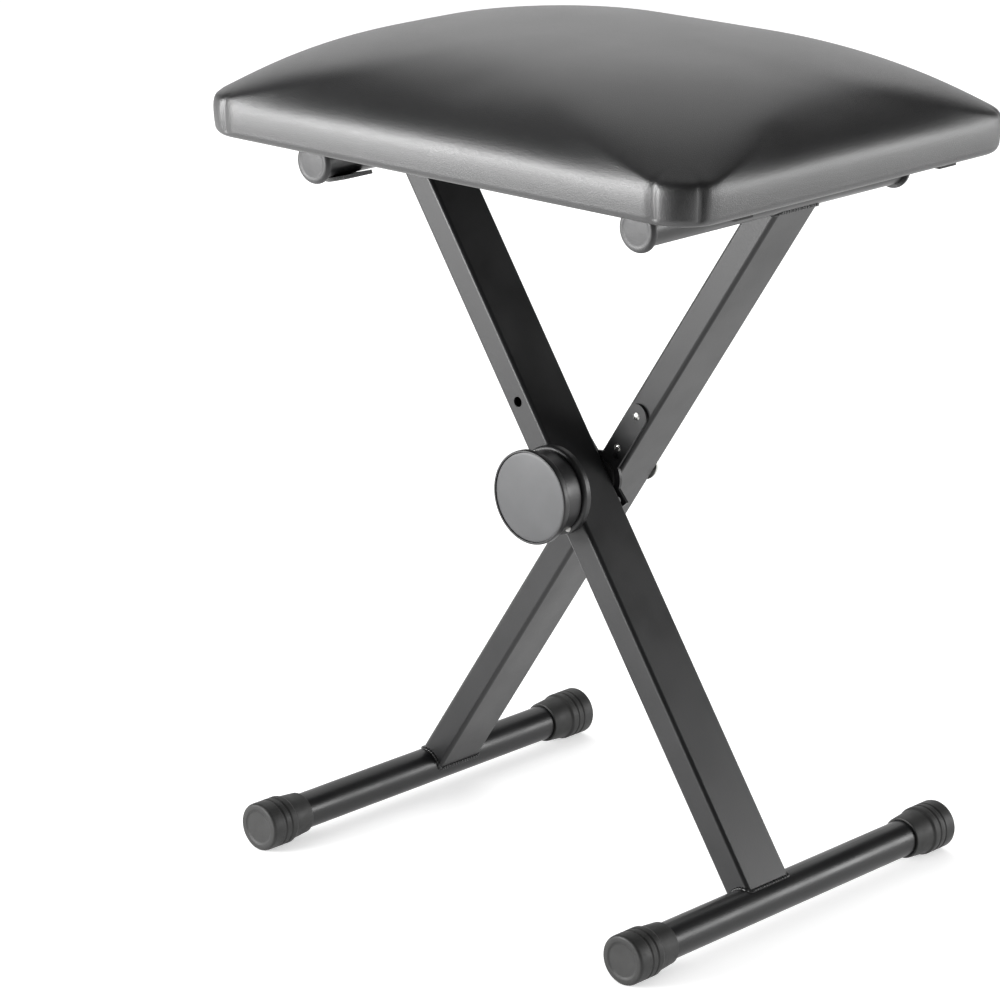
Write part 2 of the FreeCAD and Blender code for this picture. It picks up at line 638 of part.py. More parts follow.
def build_knob(spring_end):
    """Make the pull knob, its base, face, lock pins and spring."""
    base_front = -(outer_y + size["base_thick"])
    rim = size["base_dia"] / 2
    edge = size["base_edge"]
    base = turned_body("knob_base", [
        (-outer_y, size["base_bore"] / 2),
        (-outer_y, rim),
        (base_front + edge, rim),
        (base_front, rim - edge, base_front + edge, rim - edge, 1),
        (base_front, size["base_bore"] / 2),
    ])
    rivet_reach = size["base_rivet_circle"] / 2
    cut_cross_holes(base, "base_holes", [
        (size["pin_hole"], ZERO, pin_radius),
        (size["pin_hole"], ZERO, -pin_radius),
        (size["rivet_dia"], ZERO, rivet_reach),
        (size["rivet_dia"], ZERO, -rivet_reach),
    ])
    place(base, ZERO, ZERO, pivot_z, -lean)
    rivets = [
        rivet(size["rivet_dia"].number, size["rivet_head_dia"].number, 0.0, way * rivet_reach.number,
              base_front.number, -(outer_y - size["leg_wall"] - size["rivet_grip"]).number,
              size["knob_lift"].number / 2)
        for way in (1, -1)
    ]
    place(code_part("base_rivets", Part.makeCompound(rivets)), ZERO, ZERO, pivot_z, -lean)

    face = -(outer_y + size["knob_height"])
    back = -(outer_y + size["knob_rest"])
    floor = back - size["knob_floor"]
    waist_back = base_front - size["knob_lift"]
    rim_back = face + size["knob_rim"]
    knob_edge = size["knob_edge"]
    knob_rim = size["knob_dia"] / 2
    recess = face + size["face_thick"]
    recess_radius = size["face_dia"] / 2 + size["face_fit"]
    slide_bore = size["bolt_dia"] / 2 + size["knob_slide_fit"]
    knob = turned_body("knob_body", [
        (back, slide_bore),
        (back, size["knob_boss"] / 2),
        (waist_back, size["knob_boss"] / 2),
        (waist_back, size["knob_waist"] / 2),
        (rim_back + size["knob_flare"], size["knob_waist"] / 2),
        (rim_back, knob_rim - knob_edge / 2),
        (rim_back - knob_edge / 2, knob_rim, rim_back - knob_edge / 2, knob_rim - knob_edge / 2, 1),
        (face + knob_edge, knob_rim),
        (face, knob_rim - knob_edge, face + knob_edge, knob_rim - knob_edge, 1),
        (face, recess_radius),
        (recess, recess_radius),
        (recess, size["knob_bore"] / 2),
        (floor, size["knob_bore"] / 2),
        (floor, slide_bore),
    ])
    sockets = sketch_on(knob, "XZ_Plane", "pin_sockets")
    for way in (1, -1):
        draw_circle(sockets, size["pin_dia"], ZERO, way * pin_radius)
    cut_one_way(knob, sockets, -waist_back + size["pin_socket"], "pin_socket_bores", backwards=True)
    place(knob, ZERO, ZERO, pivot_z, -lean)

    disc_radius = size["face_dia"] / 2
    dome = size["face_dome"]
    dome_radius = (disc_radius * disc_radius + dome * dome) / (2 * dome)
    disc = turned_body("knob_face", [
        (recess, ZERO),
        (recess, disc_radius),
        (face + dome, disc_radius),
        (face, ZERO, face + dome_radius, ZERO, 1),
    ])
    place(disc, ZERO, ZERO, pivot_z, -lean)

    tip = inner_y - size["plate_thick"] - size["pin_short"]
    heel = waist_back - size["pin_socket"]
    pins = [
        cylinder_along_y(size["pin_dia"].number, heel.number, tip.number, 0.0, way * pin_radius.number)
        for way in (1, -1)
    ]
    place(code_part("lock_pins", Part.makeCompound(pins)), ZERO, ZERO, pivot_z, -lean)

    wire = size["spring_wire"].number
    coil_radius = (size["spring_dia"].number - wire) / 2
    low = spring_end.number + wire / 2
    high = floor.number - wire / 2
    pitch = (high - low) / size["spring_turns"].number
    helix = Part.makeHelix(pitch, high - low, coil_radius)
    start = Vector(coil_radius, 0, 0)
    outward = Vector(1, 0, 0)
    along = Vector(0, 2 * math.pi * coil_radius, pitch)
    across = (along / along.Length).cross(outward)
    corners = []
    for step in range(8):
        turn = math.pi / 4 * step
        corners.append(start + outward * (wire / 2 * math.cos(turn)) + across * (wire / 2 * math.sin(turn)))
    section = Part.makePolygon(corners + corners[:1])
    spring = Part.Wire(helix).makePipeShell([section], True, True)
    spring.rotate(Vector(), Vector(1, 0, 0), -90)
    spring.translate(Vector(0, low, 0))
    place(code_part("knob_spring", Part.makeCompound([spring])), ZERO, ZERO, pivot_z, -lean)


def rounded_rectangle(half_x, half_y, corner, height):
    """Make a level wire of four lines and four quarter arcs."""
    inner_x = half_x - corner
    inner_half_y = half_y - corner
    edges = []
    for quarter in range(4):
        angle = math.pi / 2 * quarter
        sign_x = 1 if quarter in (0, 3) else -1
        sign_y = 1 if quarter in (0, 1) else -1
        middle = Vector(sign_x * inner_x, sign_y * inner_half_y, height)
        turns = [angle, angle + math.pi / 4, angle + math.pi / 2]
        spots = [middle + Vector(corner * math.cos(turn), corner * math.sin(turn), 0) for turn in turns]
        edges.append(Part.Arc(*spots).toShape())
    lines = []
    for number, edge in enumerate(edges):
        following = edges[(number + 1) % 4]
        lines.append(edge)
        lines.append(Part.LineSegment(edge.Vertexes[-1].Point, following.Vertexes[0].Point).toShape())
    return Part.Wire(lines)


def seat_section(rise, inset):
    """Give the level outline of the seat cover at a height above its underside.

    The lower edge is rolled in by a quarter ellipse and the side band is upright. Above it the
    level line at share t of the crown has half sizes u times the seat's, where
    u = (1 - t^(1/rise power))^(1/plan power), and its corners round off towards the top.
    """
    half_x = size["seat_length"].number / 2
    half_y = size["seat_width"].number / 2
    corner = size["seat_corner"].number
    roll = size["seat_roll"].number
    band = size["seat_band"].number
    if rise < roll:
        pull = roll * (1 - math.sqrt(1 - (1 - rise / roll) ** 2))
        return half_x - inset - pull, half_y - inset - pull, corner - inset
    share = max(rise - band, 0.0) / size["seat_crown"].number
    fullness = share ** (1 / size["crown_rise_power"].number)
    reach = (1 - fullness) ** (1 / size["crown_plan_power"].number)
    diagonal = (1 - math.sqrt(fullness)) ** (1 / size["crown_plan_power"].number)
    sagitta = 1 - math.sqrt(0.5)
    rounding = max(half_x * (reach - diagonal) / sagitta, corner)
    level_x = half_x * reach - inset
    level_y = half_y * reach - inset
    most = 0.9 * min(level_x, level_y)
    return level_x, level_y, min(rounding - inset, most)


def seat_solid(start, inset):
    """Loft the crowned seat form from a height above its underside, pulled in all round by inset."""
    roll = size["seat_roll"].number
    band = size["seat_band"].number
    crown = size["seat_crown"].number
    roll_steps = [0.0, 0.3, 1.0]
    crown_steps = [0.0, 0.15, 0.3, 0.44, 0.57, 0.68, 0.77, 0.85, 0.91, 0.955, 0.985, 0.998]
    heights = [roll * step for step in roll_steps] + [band + crown * step for step in crown_steps]
    top = heights[-1]
    least = size["level_step"].number
    heights = [start] + [height for height in heights if height > start + least]
    squeeze = (top - inset - start) / (top - start)
    wires = []
    for height in heights:
        half_x, half_y, corner = seat_section(height, inset)
        level = start + (height - start) * squeeze
        wires.append(rounded_rectangle(half_x, half_y, corner, level))
    return Part.makeLoft(wires, True, True)


def screw_places():
    """List where the bracket screws stand, as (x, y) Sizes."""
    places = []
    for way in (-1, 1):
        y = way * bracket_y
        for along in (size["hook_screw_first"], size["hook_screw_second"]):
            places.append((along - bar_x, y))
        for along in (size["rest_screw_first"], size["rest_screw_second"]):
            for beside in (-1, 1):
                places.append((along + bar_x, y + beside * size["rest_screw_side"]))
    return places


def flat_panel(label, half_x, half_y, corner, thickness, hole):
    """Make a rounded panel that rests on its own XY plane, drilled for the bracket screws."""
    body = new_body(label)
    outline = sketch_on(body, "XY_Plane", label + "_outline")
    across_x = half_x - corner
    across_y = half_y - corner
    draw_outline(outline, [
        (across_x, -half_y),
        (half_x, -across_y, across_x, -across_y, 1),
        (half_x, across_y),
        (across_x, half_y, across_x, across_y, 1),
        (-across_x, half_y),
        (-half_x, across_y, -across_x, across_y, 1),
        (-half_x, -across_y),
        (-across_x, -half_y, -across_x, -across_y, 1),
    ])
    pad(body, outline, thickness, label + "_pad", midplane=False)
    drill = sketch_on(body, "XY_Plane", label + "_holes")
    for x, y in screw_places():
        draw_circle(drill, hole, x, y)
    cut_through(body, drill, label + "_drill")
    return body


def build_seat():
    """Make the board, foam, cover and dust cover of the seat."""
    thick = size["cover_thick"]
    skin = thick + size["soft_fit"]
    half_x = size["seat_length"] / 2 - skin
    half_y = size["seat_width"] / 2 - skin
    corner = size["seat_corner"] - skin
    hole = size["screw_dia"] + 2 * size["screw_fit"]
    bevel_size = size["seat_roll"] - thick + size["soft_fit"]
    board = flat_panel("seat_board", half_x, half_y, corner, size["board_thick"], hole)
    document.recompute()
    base = board.Tip
    rim = ["Edge%d" % number for number, edge in enumerate(board.Shape.Edges, start=1)
           if edge.BoundBox.ZMax < 0.01 and edge.Length > 2 * size["screw_length"].number]
    bevel = board.newObject("PartDesign::Chamfer", "seat_board_lower_edge")
    bevel.Base = (base, rim)
    bind(bevel, "Size", bevel_size)
    place(board, ZERO, ZERO, seat_z + thick)

    foam_start = (thick + size["board_thick"]).number
    foam = code_part("seat_foam", seat_solid(foam_start, skin.number))
    place(foam, ZERO, ZERO, seat_z)
    outside = seat_solid(0.0, 0.0)
    inside = seat_solid(thick.number, thick.number)
    margin = size["cover_margin"].number
    opening = rounded_rectangle(size["seat_length"].number / 2 - margin,
                                size["seat_width"].number / 2 - margin, size["seat_roll"].number, 0.0)
    opening = Part.Face(opening).extrude(Vector(0, 0, thick.number * 2))
    place(code_part("seat_cover", outside.cut(inside).cut(opening)), ZERO, ZERO, seat_z)

    inset = size["dust_inset"]
    dust_x = size["seat_length"] / 2 - inset
    dust_y = size["seat_width"] / 2 - inset
    dust = flat_panel("dust_cover", dust_x, dust_y, size["seat_corner"] - inset, size["dust_thick"], hole)
    place(dust, ZERO, ZERO, seat_z - size["dust_thick"])

    wire = size["staple_wire"].number
    crown = size["staple_crown"].number
    line_x = (dust_x - size["staple_inset"]).number
    line_y = (dust_y - size["staple_inset"]).number
    spacing = size["staple_spacing"].number
    clear = size["rest_width"].number / 2 + crown
    staples = []
    for along, across, turn in ((line_x, line_y, 0), (line_y, line_x, 90)):
        free = 2 * (along - crown)
        count = max(2, round(free / spacing) + 1)
        for number in range(count):
            spot = -free / 2 + free * number / (count - 1)
            for way in (-1, 1):
                under_bracket = turn == 90 and abs(abs(spot) - bracket_y.number) < clear
                if under_bracket:
                    continue
                corner_point = Vector(spot - crown / 2, way * across - wire / 2, -wire)
                staple = Part.makeBox(crown, wire, wire, corner_point)
                staple.rotate(Vector(), Vector(0, 0, 1), turn)
                staples.append(staple)
    group = code_part("dust_cover_staples", Part.makeCompound(staples))
    place(group, ZERO, ZERO, seat_z - size["dust_thick"])


def build_brackets():
    """Make the hinge hooks and saddles on the left bar, the rests and pads on the right, and screws."""
    strap = size["strap"]
    inner = bearing_radius
    outer = bearing_radius + strap
    wrap = size["hook_wrap"]
    lip_x = sine(wrap)
    lip_z = cosine(wrap)
    lip = size["hook_lip"]
    inner_end = (inner * cosine(wrap), inner * sine(wrap))
    outer_end = (outer * cosine(wrap), outer * sine(wrap))
    hole = size["screw_dia"] + 2 * size["screw_fit"]
    for way, name in ((-1, "front"), (1, "rear")):
        y = way * bracket_y
        hook = new_body("hinge_hook_" + name)
        outline = sketch_on(hook, "XZ_Plane", "hook_outline_" + name)
        draw_outline(outline, [
            (size["hook_flange"], flange_top),
            (-outer, flange_top),
            (-outer, ZERO),
            (outer_end[0], outer_end[1], ZERO, ZERO, 1),
            (outer_end[0] - lip * lip_x, outer_end[1] + lip * lip_z),
            (inner_end[0] - lip * lip_x, inner_end[1] + lip * lip_z),
            inner_end,
            (-inner, ZERO, ZERO, ZERO, -1),
            (-inner, flange_low),
            (size["hook_flange"], flange_low),
        ])
        pad(hook, outline, size["hook_width"], "hook_pad_" + name)
        drill = sketch_on(hook, "XY_Plane", "hook_holes_" + name)
        for along in (size["hook_screw_first"], size["hook_screw_second"]):
            draw_circle(drill, hole, along, ZERO)
        cut_through(hook, drill, "hook_drill_" + name)
        place(hook, -bar_x, y, bar_z)

        saddle = new_body("saddle_pad_" + name)
        outline = sketch_on(saddle, "XZ_Plane", "saddle_outline_" + name)
        half = size["saddle_length"] / 2
        foot = root(bearing_radius * bearing_radius - half * half)
        draw_outline(outline, [
            (half, flange_low),
            (-half, flange_low),
            (-half, foot),
            (half, foot, ZERO, ZERO, -1),
        ])
        pad(saddle, outline, size["saddle_width"], "saddle_block_" + name)
        place(saddle, -bar_x, y, bar_z)

        rest = new_body("rest_bracket_" + name)
        outline = sketch_on(rest, "XZ_Plane", "rest_outline_" + name)
        stop = -(size["bar_dia"] / 2 + size["rest_stop_gap"])
        draw_outline(outline, [
            (size["rest_reach"], flange_top),
            (stop - strap, flange_top),
            (stop - strap, -size["rest_stop_drop"]),
            (stop, -size["rest_stop_drop"]),
            (stop, flange_low),
            (size["rest_reach"], flange_low),
        ])
        pad(rest, outline, size["rest_width"], "rest_strip_" + name)
        drill = sketch_on(rest, "XY_Plane", "rest_holes_" + name)
        for along in (size["rest_screw_first"], size["rest_screw_second"]):
            for beside in (-1, 1):
                draw_circle(drill, hole, along, beside * size["rest_screw_side"])
        cut_through(rest, drill, "rest_drill_" + name)
        place(rest, bar_x, y, bar_z)

        pad_body = new_body("rest_pad_" + name)
        outline = sketch_on(pad_body, "XZ_Plane", "rest_pad_outline_" + name)
        draw_rectangle(outline, stop, bearing_radius, size["rest_reach"], flange_low)
        pad(pad_body, outline, size["rest_pad_width"], "rest_pad_block_" + name)
        place(pad_body, bar_x, y, bar_z)

    shank = size["screw_dia"].number
    screws = []
    for x, y in screw_places():
        point = Part.makeCone(shank / 2, 0.0, shank, Vector(0, 0, size["screw_length"].number - shank))
        body = Part.makeCylinder(shank / 2, size["screw_length"].number - shank).fuse(point)
        head = Part.makeCylinder(size["screw_head_dia"].number / 2, size["screw_head"].number,
                                 Vector(0, 0, -size["screw_head"].number))
        screw = body.fuse(head).removeSplitter()
        screw.translate(Vector(x.number, y.number, 0))
        screws.append(screw)
    place(code_part("bracket_screws", Part.makeCompound(screws)), ZERO, ZERO, bar_z + flange_low)


def check_model():
    """Stop if any object failed or any sub-part has no sound solid."""
    document.recompute()
    for thing in document.Objects:
        if "Invalid" in thing.State or "Error" in thing.State:
            raise RuntimeError(thing.Name + " failed: " + str(thing.State))
    for part in parts:
        shape = part.Shape
        if shape.isNull() or not shape.isValid() or not shape.Solids:
            raise RuntimeError(part.Label + " has no sound solid")


build_legs()
foot_bar("a", -1)
foot_bar("b", 1)
top_bar("a", -1)
top_bar("b", 1)
build_index_plate()
build_knob(build_pivot())
build_seat()
build_brackets()
check_model()

os.makedirs("parts", exist_ok=True)
for part in parts:
    part.Shape.exportStep("parts/" + part.Label + ".step")
print("%d sub-parts written" % len(parts))
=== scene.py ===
"""Looks of a folding keyboard bench: padded seat, crossed tube legs, pull knob and foot caps.

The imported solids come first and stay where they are. Soft and turned pieces are worked out as
surfaces of two parameters, and every surface gets a finish made of nodes. Lengths are in metres.
"""

from __future__ import annotations

import json
import logging
import math
from collections.abc import Callable
from dataclasses import dataclass
from enum import Enum

import bmesh
import bpy
import numpy as np
from mathutils import Matrix, Vector

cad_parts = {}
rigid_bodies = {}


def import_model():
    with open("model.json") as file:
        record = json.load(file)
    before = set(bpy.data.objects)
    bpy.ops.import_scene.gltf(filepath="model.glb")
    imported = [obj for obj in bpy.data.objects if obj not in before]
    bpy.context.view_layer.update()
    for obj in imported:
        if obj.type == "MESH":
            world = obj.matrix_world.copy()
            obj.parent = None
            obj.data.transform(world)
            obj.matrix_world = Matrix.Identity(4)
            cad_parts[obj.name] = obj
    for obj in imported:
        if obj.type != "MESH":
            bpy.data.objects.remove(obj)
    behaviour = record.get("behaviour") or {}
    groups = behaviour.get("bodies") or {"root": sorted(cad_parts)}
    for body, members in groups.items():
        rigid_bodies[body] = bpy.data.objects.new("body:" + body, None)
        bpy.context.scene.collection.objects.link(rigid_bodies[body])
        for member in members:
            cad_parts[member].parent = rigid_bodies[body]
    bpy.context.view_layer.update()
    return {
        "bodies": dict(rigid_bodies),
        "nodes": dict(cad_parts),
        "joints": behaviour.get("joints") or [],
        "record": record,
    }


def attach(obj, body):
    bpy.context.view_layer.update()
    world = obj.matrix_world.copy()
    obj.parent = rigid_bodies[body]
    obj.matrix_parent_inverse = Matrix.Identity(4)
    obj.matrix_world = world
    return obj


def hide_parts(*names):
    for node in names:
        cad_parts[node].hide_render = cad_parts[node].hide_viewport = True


LOG = logging.getLogger("bench")
NOISE_LOW = 0.3
NOISE_HIGH = 0.7
LEATHER_EDGE = 0.22
Array = np.ndarray
Socket = bpy.types.NodeSocket
X_AXIS = np.array([1.0, 0.0, 0.0])
Y_AXIS = np.array([0.0, 1.0, 0.0])


class Body(str, Enum):
    """The bodies that pieces ride on."""

    LEG_A = "leg_a"
    LEG_B = "leg_b"
    SEAT = "seat"
    KNOB = "knob"


LEGS = ((-1, "a", Body.LEG_A), (1, "b", Body.LEG_B))
ENDS = ((-1, "front"), (1, "rear"))


class Slot(str, Enum):
    """The record's material slots."""

    FRAME_PAINT = "frame_paint"
    ZINC_STEEL = "zinc_steel"
    BLACK_STEEL = "black_steel"
    FOOT_RUBBER = "foot_rubber"
    PAD_RUBBER = "pad_rubber"
    KNOB_PLASTIC = "knob_plastic"
    KNOB_DISC = "knob_disc"
    PLUG_PLASTIC = "plug_plastic"
    BUSH_PLASTIC = "bush_plastic"
    BOARD_WOOD = "board_wood"
    FOAM = "foam"
    SEAT_LEATHER = "seat_leather"
    DUST_FABRIC = "dust_fabric"


class Grain(Enum):
    """What the fine relief of a finish looks like."""

    ORANGE_PEEL = "orange peel"
    LEATHER = "leather"
    MOULDED = "moulded"
    BRUSHED = "brushed"
    FIBRES = "fibres"
    WOOD = "wood"
    CELLS = "cells"


# Finishes


def feed(tree: bpy.types.NodeTree, target: Socket, source: Socket | float) -> None:
    """Link a socket to another one, or set it to a number."""
    if isinstance(source, bpy.types.NodeSocket):
        tree.links.new(source, target)
    else:
        target.default_value = source


def remap(
    tree: bpy.types.NodeTree,
    value: Socket,
    spans: tuple[float, float],
    low: Socket | float,
    high: Socket | float,
    smooth: bool = False,
) -> Socket:
    """Stretch a value from one range to another.

    Args:
        tree: The node tree to add to.
        value: The value to stretch.
        spans: Start and end of the range that the value comes in.
        low: Result at the start.
        high: Result at the end.
        smooth: Whether the change eases in and out.

    Returns:
        The stretched value.
    """
    node = tree.nodes.new("ShaderNodeMapRange")
    node.interpolation_type = "SMOOTHSTEP" if smooth else "LINEAR"
    names = ("Value", "From Min", "From Max", "To Min", "To Max")
    for name, source in zip(names, (value, *spans, low, high)):
        feed(tree, node.inputs[name], source)
    return node.outputs["Result"]


class NodeBoard:
    """A material's node tree with short calls to add nodes and join them."""

    def __init__(self, name: str) -> None:
        """Start an empty material that holds one Principled shader."""
        self.material = bpy.data.materials.new(name)
        self.material.use_nodes = True
        self.tree = self.material.node_tree
        self.tree.nodes.clear()
        self.output = self.add("ShaderNodeOutputMaterial")
        self.shader = self.add("ShaderNodeBsdfPrincipled")
        self.join(self.shader.outputs["BSDF"], self.output.inputs["Surface"])
        self.place = self.add("ShaderNodeTexCoord").outputs["Object"]

    def add(self, kind: str, **values: object) -> bpy.types.Node:
        """Add a node and set the named values on its sockets.

        Args:
            kind: The node's Blender type name.
            **values: Socket names, with spaces as underscores, and their values.

        Returns:
            The new node.
        """
        node = self.tree.nodes.new(kind)
        for key, value in values.items():
            node.inputs[key.replace("_", " ")].default_value = value
        return node

    def join(self, source: Socket, target: Socket) -> None:
        """Link one socket to another."""
        self.tree.links.new(source, target)

    def noise(self, size: float, detail: float = 2.0, stretch: tuple | None = None) -> Socket:
        """Add noise whose lumps are about one size across.

        Args:
            size: Width of a lump in metres.
            detail: How many finer layers are added.
            stretch: How much denser the lumps are along X, Y and Z, if not even.

        Returns:
            The noise's value, from 0 to 1.
        """
        node = self.add("ShaderNodeTexNoise", Scale=1.0 / size, Detail=detail)
        source = self.place
        if stretch is not None:
            mapping = self.add("ShaderNodeMapping")
            mapping.inputs["Scale"].default_value = stretch
            self.join(source, mapping.inputs["Vector"])
            source = mapping.outputs["Vector"]
        self.join(source, node.inputs["Vector"])
        return node.outputs["Fac"]

    def spread(self, value: Socket, low: float, high: float) -> Socket:
        """Stretch a noise value over a range.

        Args:
            value: The noise's value.
            low: Result where the noise is low.
            high: Result where the noise is high.

        Returns:
            The stretched value.
        """
        return remap(self.tree, value, (NOISE_LOW, NOISE_HIGH), low, high)

    def add_up(self, first: Socket, second: Socket, share: float) -> Socket:
        """Add a share of one value to another.

        Args:
            first: Value that is taken whole.
            second: Value of which a share is added.
            share: That share.

        Returns:
            The sum.
        """
        node = self.add("ShaderNodeMath")
        node.operation = "MULTIPLY_ADD"
        self.join(second, node.inputs[0])
        node.inputs[1].default_value = share
        self.join(first, node.inputs[2])
        return node.outputs["Value"]


@dataclass(frozen=True)
class Finish:
    """One finish: its colour, gloss and fine relief."""

    slot: Slot
    colour: tuple[float, float, float]
    roughness: float
    grain: Grain
    grain_size: float
    grain_depth: float
    metallic: float = 0.0
    specular: float = 0.5
    sheen: float = 0.0
    gloss_spread: float = 0.05
    colour_spread: float = 0.1
    patch_size: float = 0.03

    def relief(self, board: NodeBoard) -> Socket:
        """Build the height pattern of this finish.

        Args:
            board: The material being made.

        Returns:
            The height, from 0 to about 1.
        """
        if self.grain is Grain.ORANGE_PEEL:
            return board.noise(self.grain_size, 1.0)
        if self.grain is Grain.BRUSHED:
            return board.noise(self.grain_size, 3.0, (1.0, 14.0, 1.0))
        if self.grain is Grain.FIBRES:
            along = board.noise(self.grain_size, 4.0, (1.0, 9.0, 4.0))
            across = board.noise(self.grain_size, 4.0, (9.0, 1.0, 4.0))
            return board.add_up(along, across, 0.9)
        if self.grain is Grain.WOOD:
            bands = board.add("ShaderNodeTexWave", Scale=60.0, Distortion=6.0, Detail=3.0)
            bands.bands_direction = "Y"
            board.join(board.place, bands.inputs["Vector"])
            pores = board.noise(self.grain_size, 4.0, (1.0, 12.0, 1.0))
            return board.add_up(bands.outputs["Fac"], pores, 0.7)
        cells = board.add("ShaderNodeTexVoronoi", Scale=1.0 / self.grain_size)
        cells.feature = "DISTANCE_TO_EDGE" if self.grain is Grain.LEATHER else "F1"
        if self.grain is Grain.LEATHER:
            warp = board.add("ShaderNodeTexNoise", Scale=0.4 / self.grain_size, Detail=2.0)
            shift = board.add("ShaderNodeVectorMath")
            shift.operation = "MULTIPLY_ADD"
            board.join(board.place, warp.inputs["Vector"])
            board.join(warp.outputs["Color"], shift.inputs[0])
            shift.inputs[1].default_value = (self.grain_size * 1.2,) * 3
            board.join(board.place, shift.inputs[2])
            board.join(shift.outputs["Vector"], cells.inputs["Vector"])
            edge = remap(board.tree, cells.outputs["Distance"], (0.0, LEATHER_EDGE), 0.0, 1.0, smooth=True)
            return board.add_up(edge, board.noise(self.grain_size * 0.35, 3.0), 0.35)
        board.join(board.place, cells.inputs["Vector"])
        return board.add_up(cells.outputs["Distance"], board.noise(self.grain_size * 0.6, 2.0), 0.5)

    def make(self) -> bpy.types.Material:
        """Build the material.

        Returns:
            The finished material.
        """
        board = NodeBoard(self.slot.value + "_finish")
        shader = board.shader
        patches = board.noise(self.patch_size, 3.0)
        mix = board.add("ShaderNodeMix")
        mix.data_type = "RGBA"
        board.join(board.spread(patches, 0.0, 1.0), mix.inputs[0])
        low = 1.0 - self.colour_spread
        high = 1.0 + self.colour_spread
        mix.inputs[6].default_value = tuple(min(c * low, 1.0) for c in self.colour) + (1.0,)
        mix.inputs[7].default_value = tuple(min(c * high, 1.0) for c in self.colour) + (1.0,)
        board.join(mix.outputs[2], shader.inputs["Base Color"])
        smears = board.noise(self.patch_size * 0.7, 4.0)
        low_gloss = max(self.roughness - self.gloss_spread, 0.02)
        high_gloss = min(self.roughness + self.gloss_spread, 1.0)
        board.join(board.spread(smears, low_gloss, high_gloss), shader.inputs["Roughness"])
        shader.inputs["Metallic"].default_value = self.metallic
        shader.inputs["Specular IOR Level"].default_value = self.specular
        shader.inputs["Sheen Weight"].default_value = self.sheen
        bump = board.add("ShaderNodeBump", Strength=1.0, Distance=self.grain_depth)
        board.join(self.relief(board), bump.inputs["Height"])
        board.join(bump.outputs["Normal"], shader.inputs["Normal"])
        return board.material


FINISHES: tuple[Finish, ...] = (
    Finish(Slot.FRAME_PAINT, (0.009, 0.009, 0.0095), 0.36, Grain.ORANGE_PEEL, 0.0016, 0.00003,
           specular=0.42, gloss_spread=0.05, colour_spread=0.12, patch_size=0.05),
    Finish(Slot.ZINC_STEEL, (0.55, 0.55, 0.53), 0.32, Grain.BRUSHED, 0.0012, 0.00002,
           metallic=1.0, gloss_spread=0.08, patch_size=0.006),
    Finish(Slot.BLACK_STEEL, (0.012, 0.012, 0.0125), 0.42, Grain.ORANGE_PEEL, 0.0014, 0.00003,
           specular=0.42, gloss_spread=0.06, patch_size=0.02),
    Finish(Slot.FOOT_RUBBER, (0.020, 0.020, 0.0195), 0.55, Grain.MOULDED, 0.0006, 0.00004,
           specular=0.4, gloss_spread=0.08, colour_spread=0.2, patch_size=0.012),
    Finish(Slot.PAD_RUBBER, (0.02, 0.02, 0.02), 0.7, Grain.MOULDED, 0.0007, 0.00005,
           specular=0.35, patch_size=0.01),
    Finish(Slot.KNOB_PLASTIC, (0.010, 0.010, 0.0105), 0.42, Grain.MOULDED, 0.0005, 0.00002,
           specular=0.45, gloss_spread=0.05, patch_size=0.015),
    Finish(Slot.KNOB_DISC, (0.055, 0.056, 0.058), 0.40, Grain.MOULDED, 0.0005, 0.000015,
           specular=0.5, gloss_spread=0.06, patch_size=0.02),
    Finish(Slot.PLUG_PLASTIC, (0.030, 0.030, 0.031), 0.45, Grain.MOULDED, 0.0006, 0.00002,
           specular=0.45, patch_size=0.008),
    Finish(Slot.BUSH_PLASTIC, (0.012, 0.012, 0.012), 0.4, Grain.MOULDED, 0.0006, 0.00002,
           patch_size=0.006),
    Finish(Slot.BOARD_WOOD, (0.42, 0.27, 0.14), 0.7, Grain.WOOD, 0.004, 0.0001,
           specular=0.3, colour_spread=0.25, patch_size=0.02),
    Finish(Slot.FOAM, (0.62, 0.55, 0.30), 0.9, Grain.CELLS, 0.0012, 0.0003,
           specular=0.2, sheen=0.2),
    Finish(Slot.SEAT_LEATHER, (0.0105, 0.0105, 0.011), 0.42, Grain.LEATHER, 0.0011, 0.00004,
           specular=0.85, gloss_spread=0.010, colour_spread=0.08, patch_size=0.06),
    Finish(Slot.DUST_FABRIC, (0.018, 0.018, 0.018), 0.85, Grain.FIBRES, 0.0012, 0.0001,
           specular=0.2, sheen=0.15, colour_spread=0.2, patch_size=0.01),
)


class FinishRack:
    """All the finishes, made once and handed out by slot."""

    def __init__(self) -> None:
        """Make every material."""
        self.materials = {finish.slot: finish.make() for finish in FINISHES}

    def dress(self, piece: bpy.types.Object, slot: Slot) -> None:
        """Give one piece the material of a slot."""
        piece.data.materials.clear()
        piece.data.materials.append(self.materials[slot])

    def dress_solids(self, frame: dict) -> None:
        """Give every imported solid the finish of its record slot.
        """
        for part in frame["record"]["subparts"]:
            self.dress(frame["nodes"][part["node"]], Slot(part["material_slot"]))
            LOG.info("solid %s wears %s", part["node"], part["material_slot"])


# Surfaces


def close_mesh(mesh: bpy.types.Mesh, sharp_degrees: float = 38.0) -> None:
    """Join seams and poles, turn the faces outwards and shade the mesh smooth.

    Args:
        mesh: The mesh to finish.
        sharp_degrees: Edges bent by more than this stay sharp.
    """
    work = bmesh.new()
    work.from_mesh(mesh)
    bmesh.ops.remove_doubles(work, verts=work.verts, dist=1e-6)
    bmesh.ops.dissolve_degenerate(work, edges=work.edges, dist=1e-7)
    bmesh.ops.recalc_face_normals(work, faces=work.faces)
    work.to_mesh(mesh)
    work.free()
    mesh.polygons.foreach_set("use_smooth", np.ones(len(mesh.polygons), dtype=bool))
    mesh.set_sharp_from_angle(angle=math.radians(sharp_degrees))
    mesh.update()


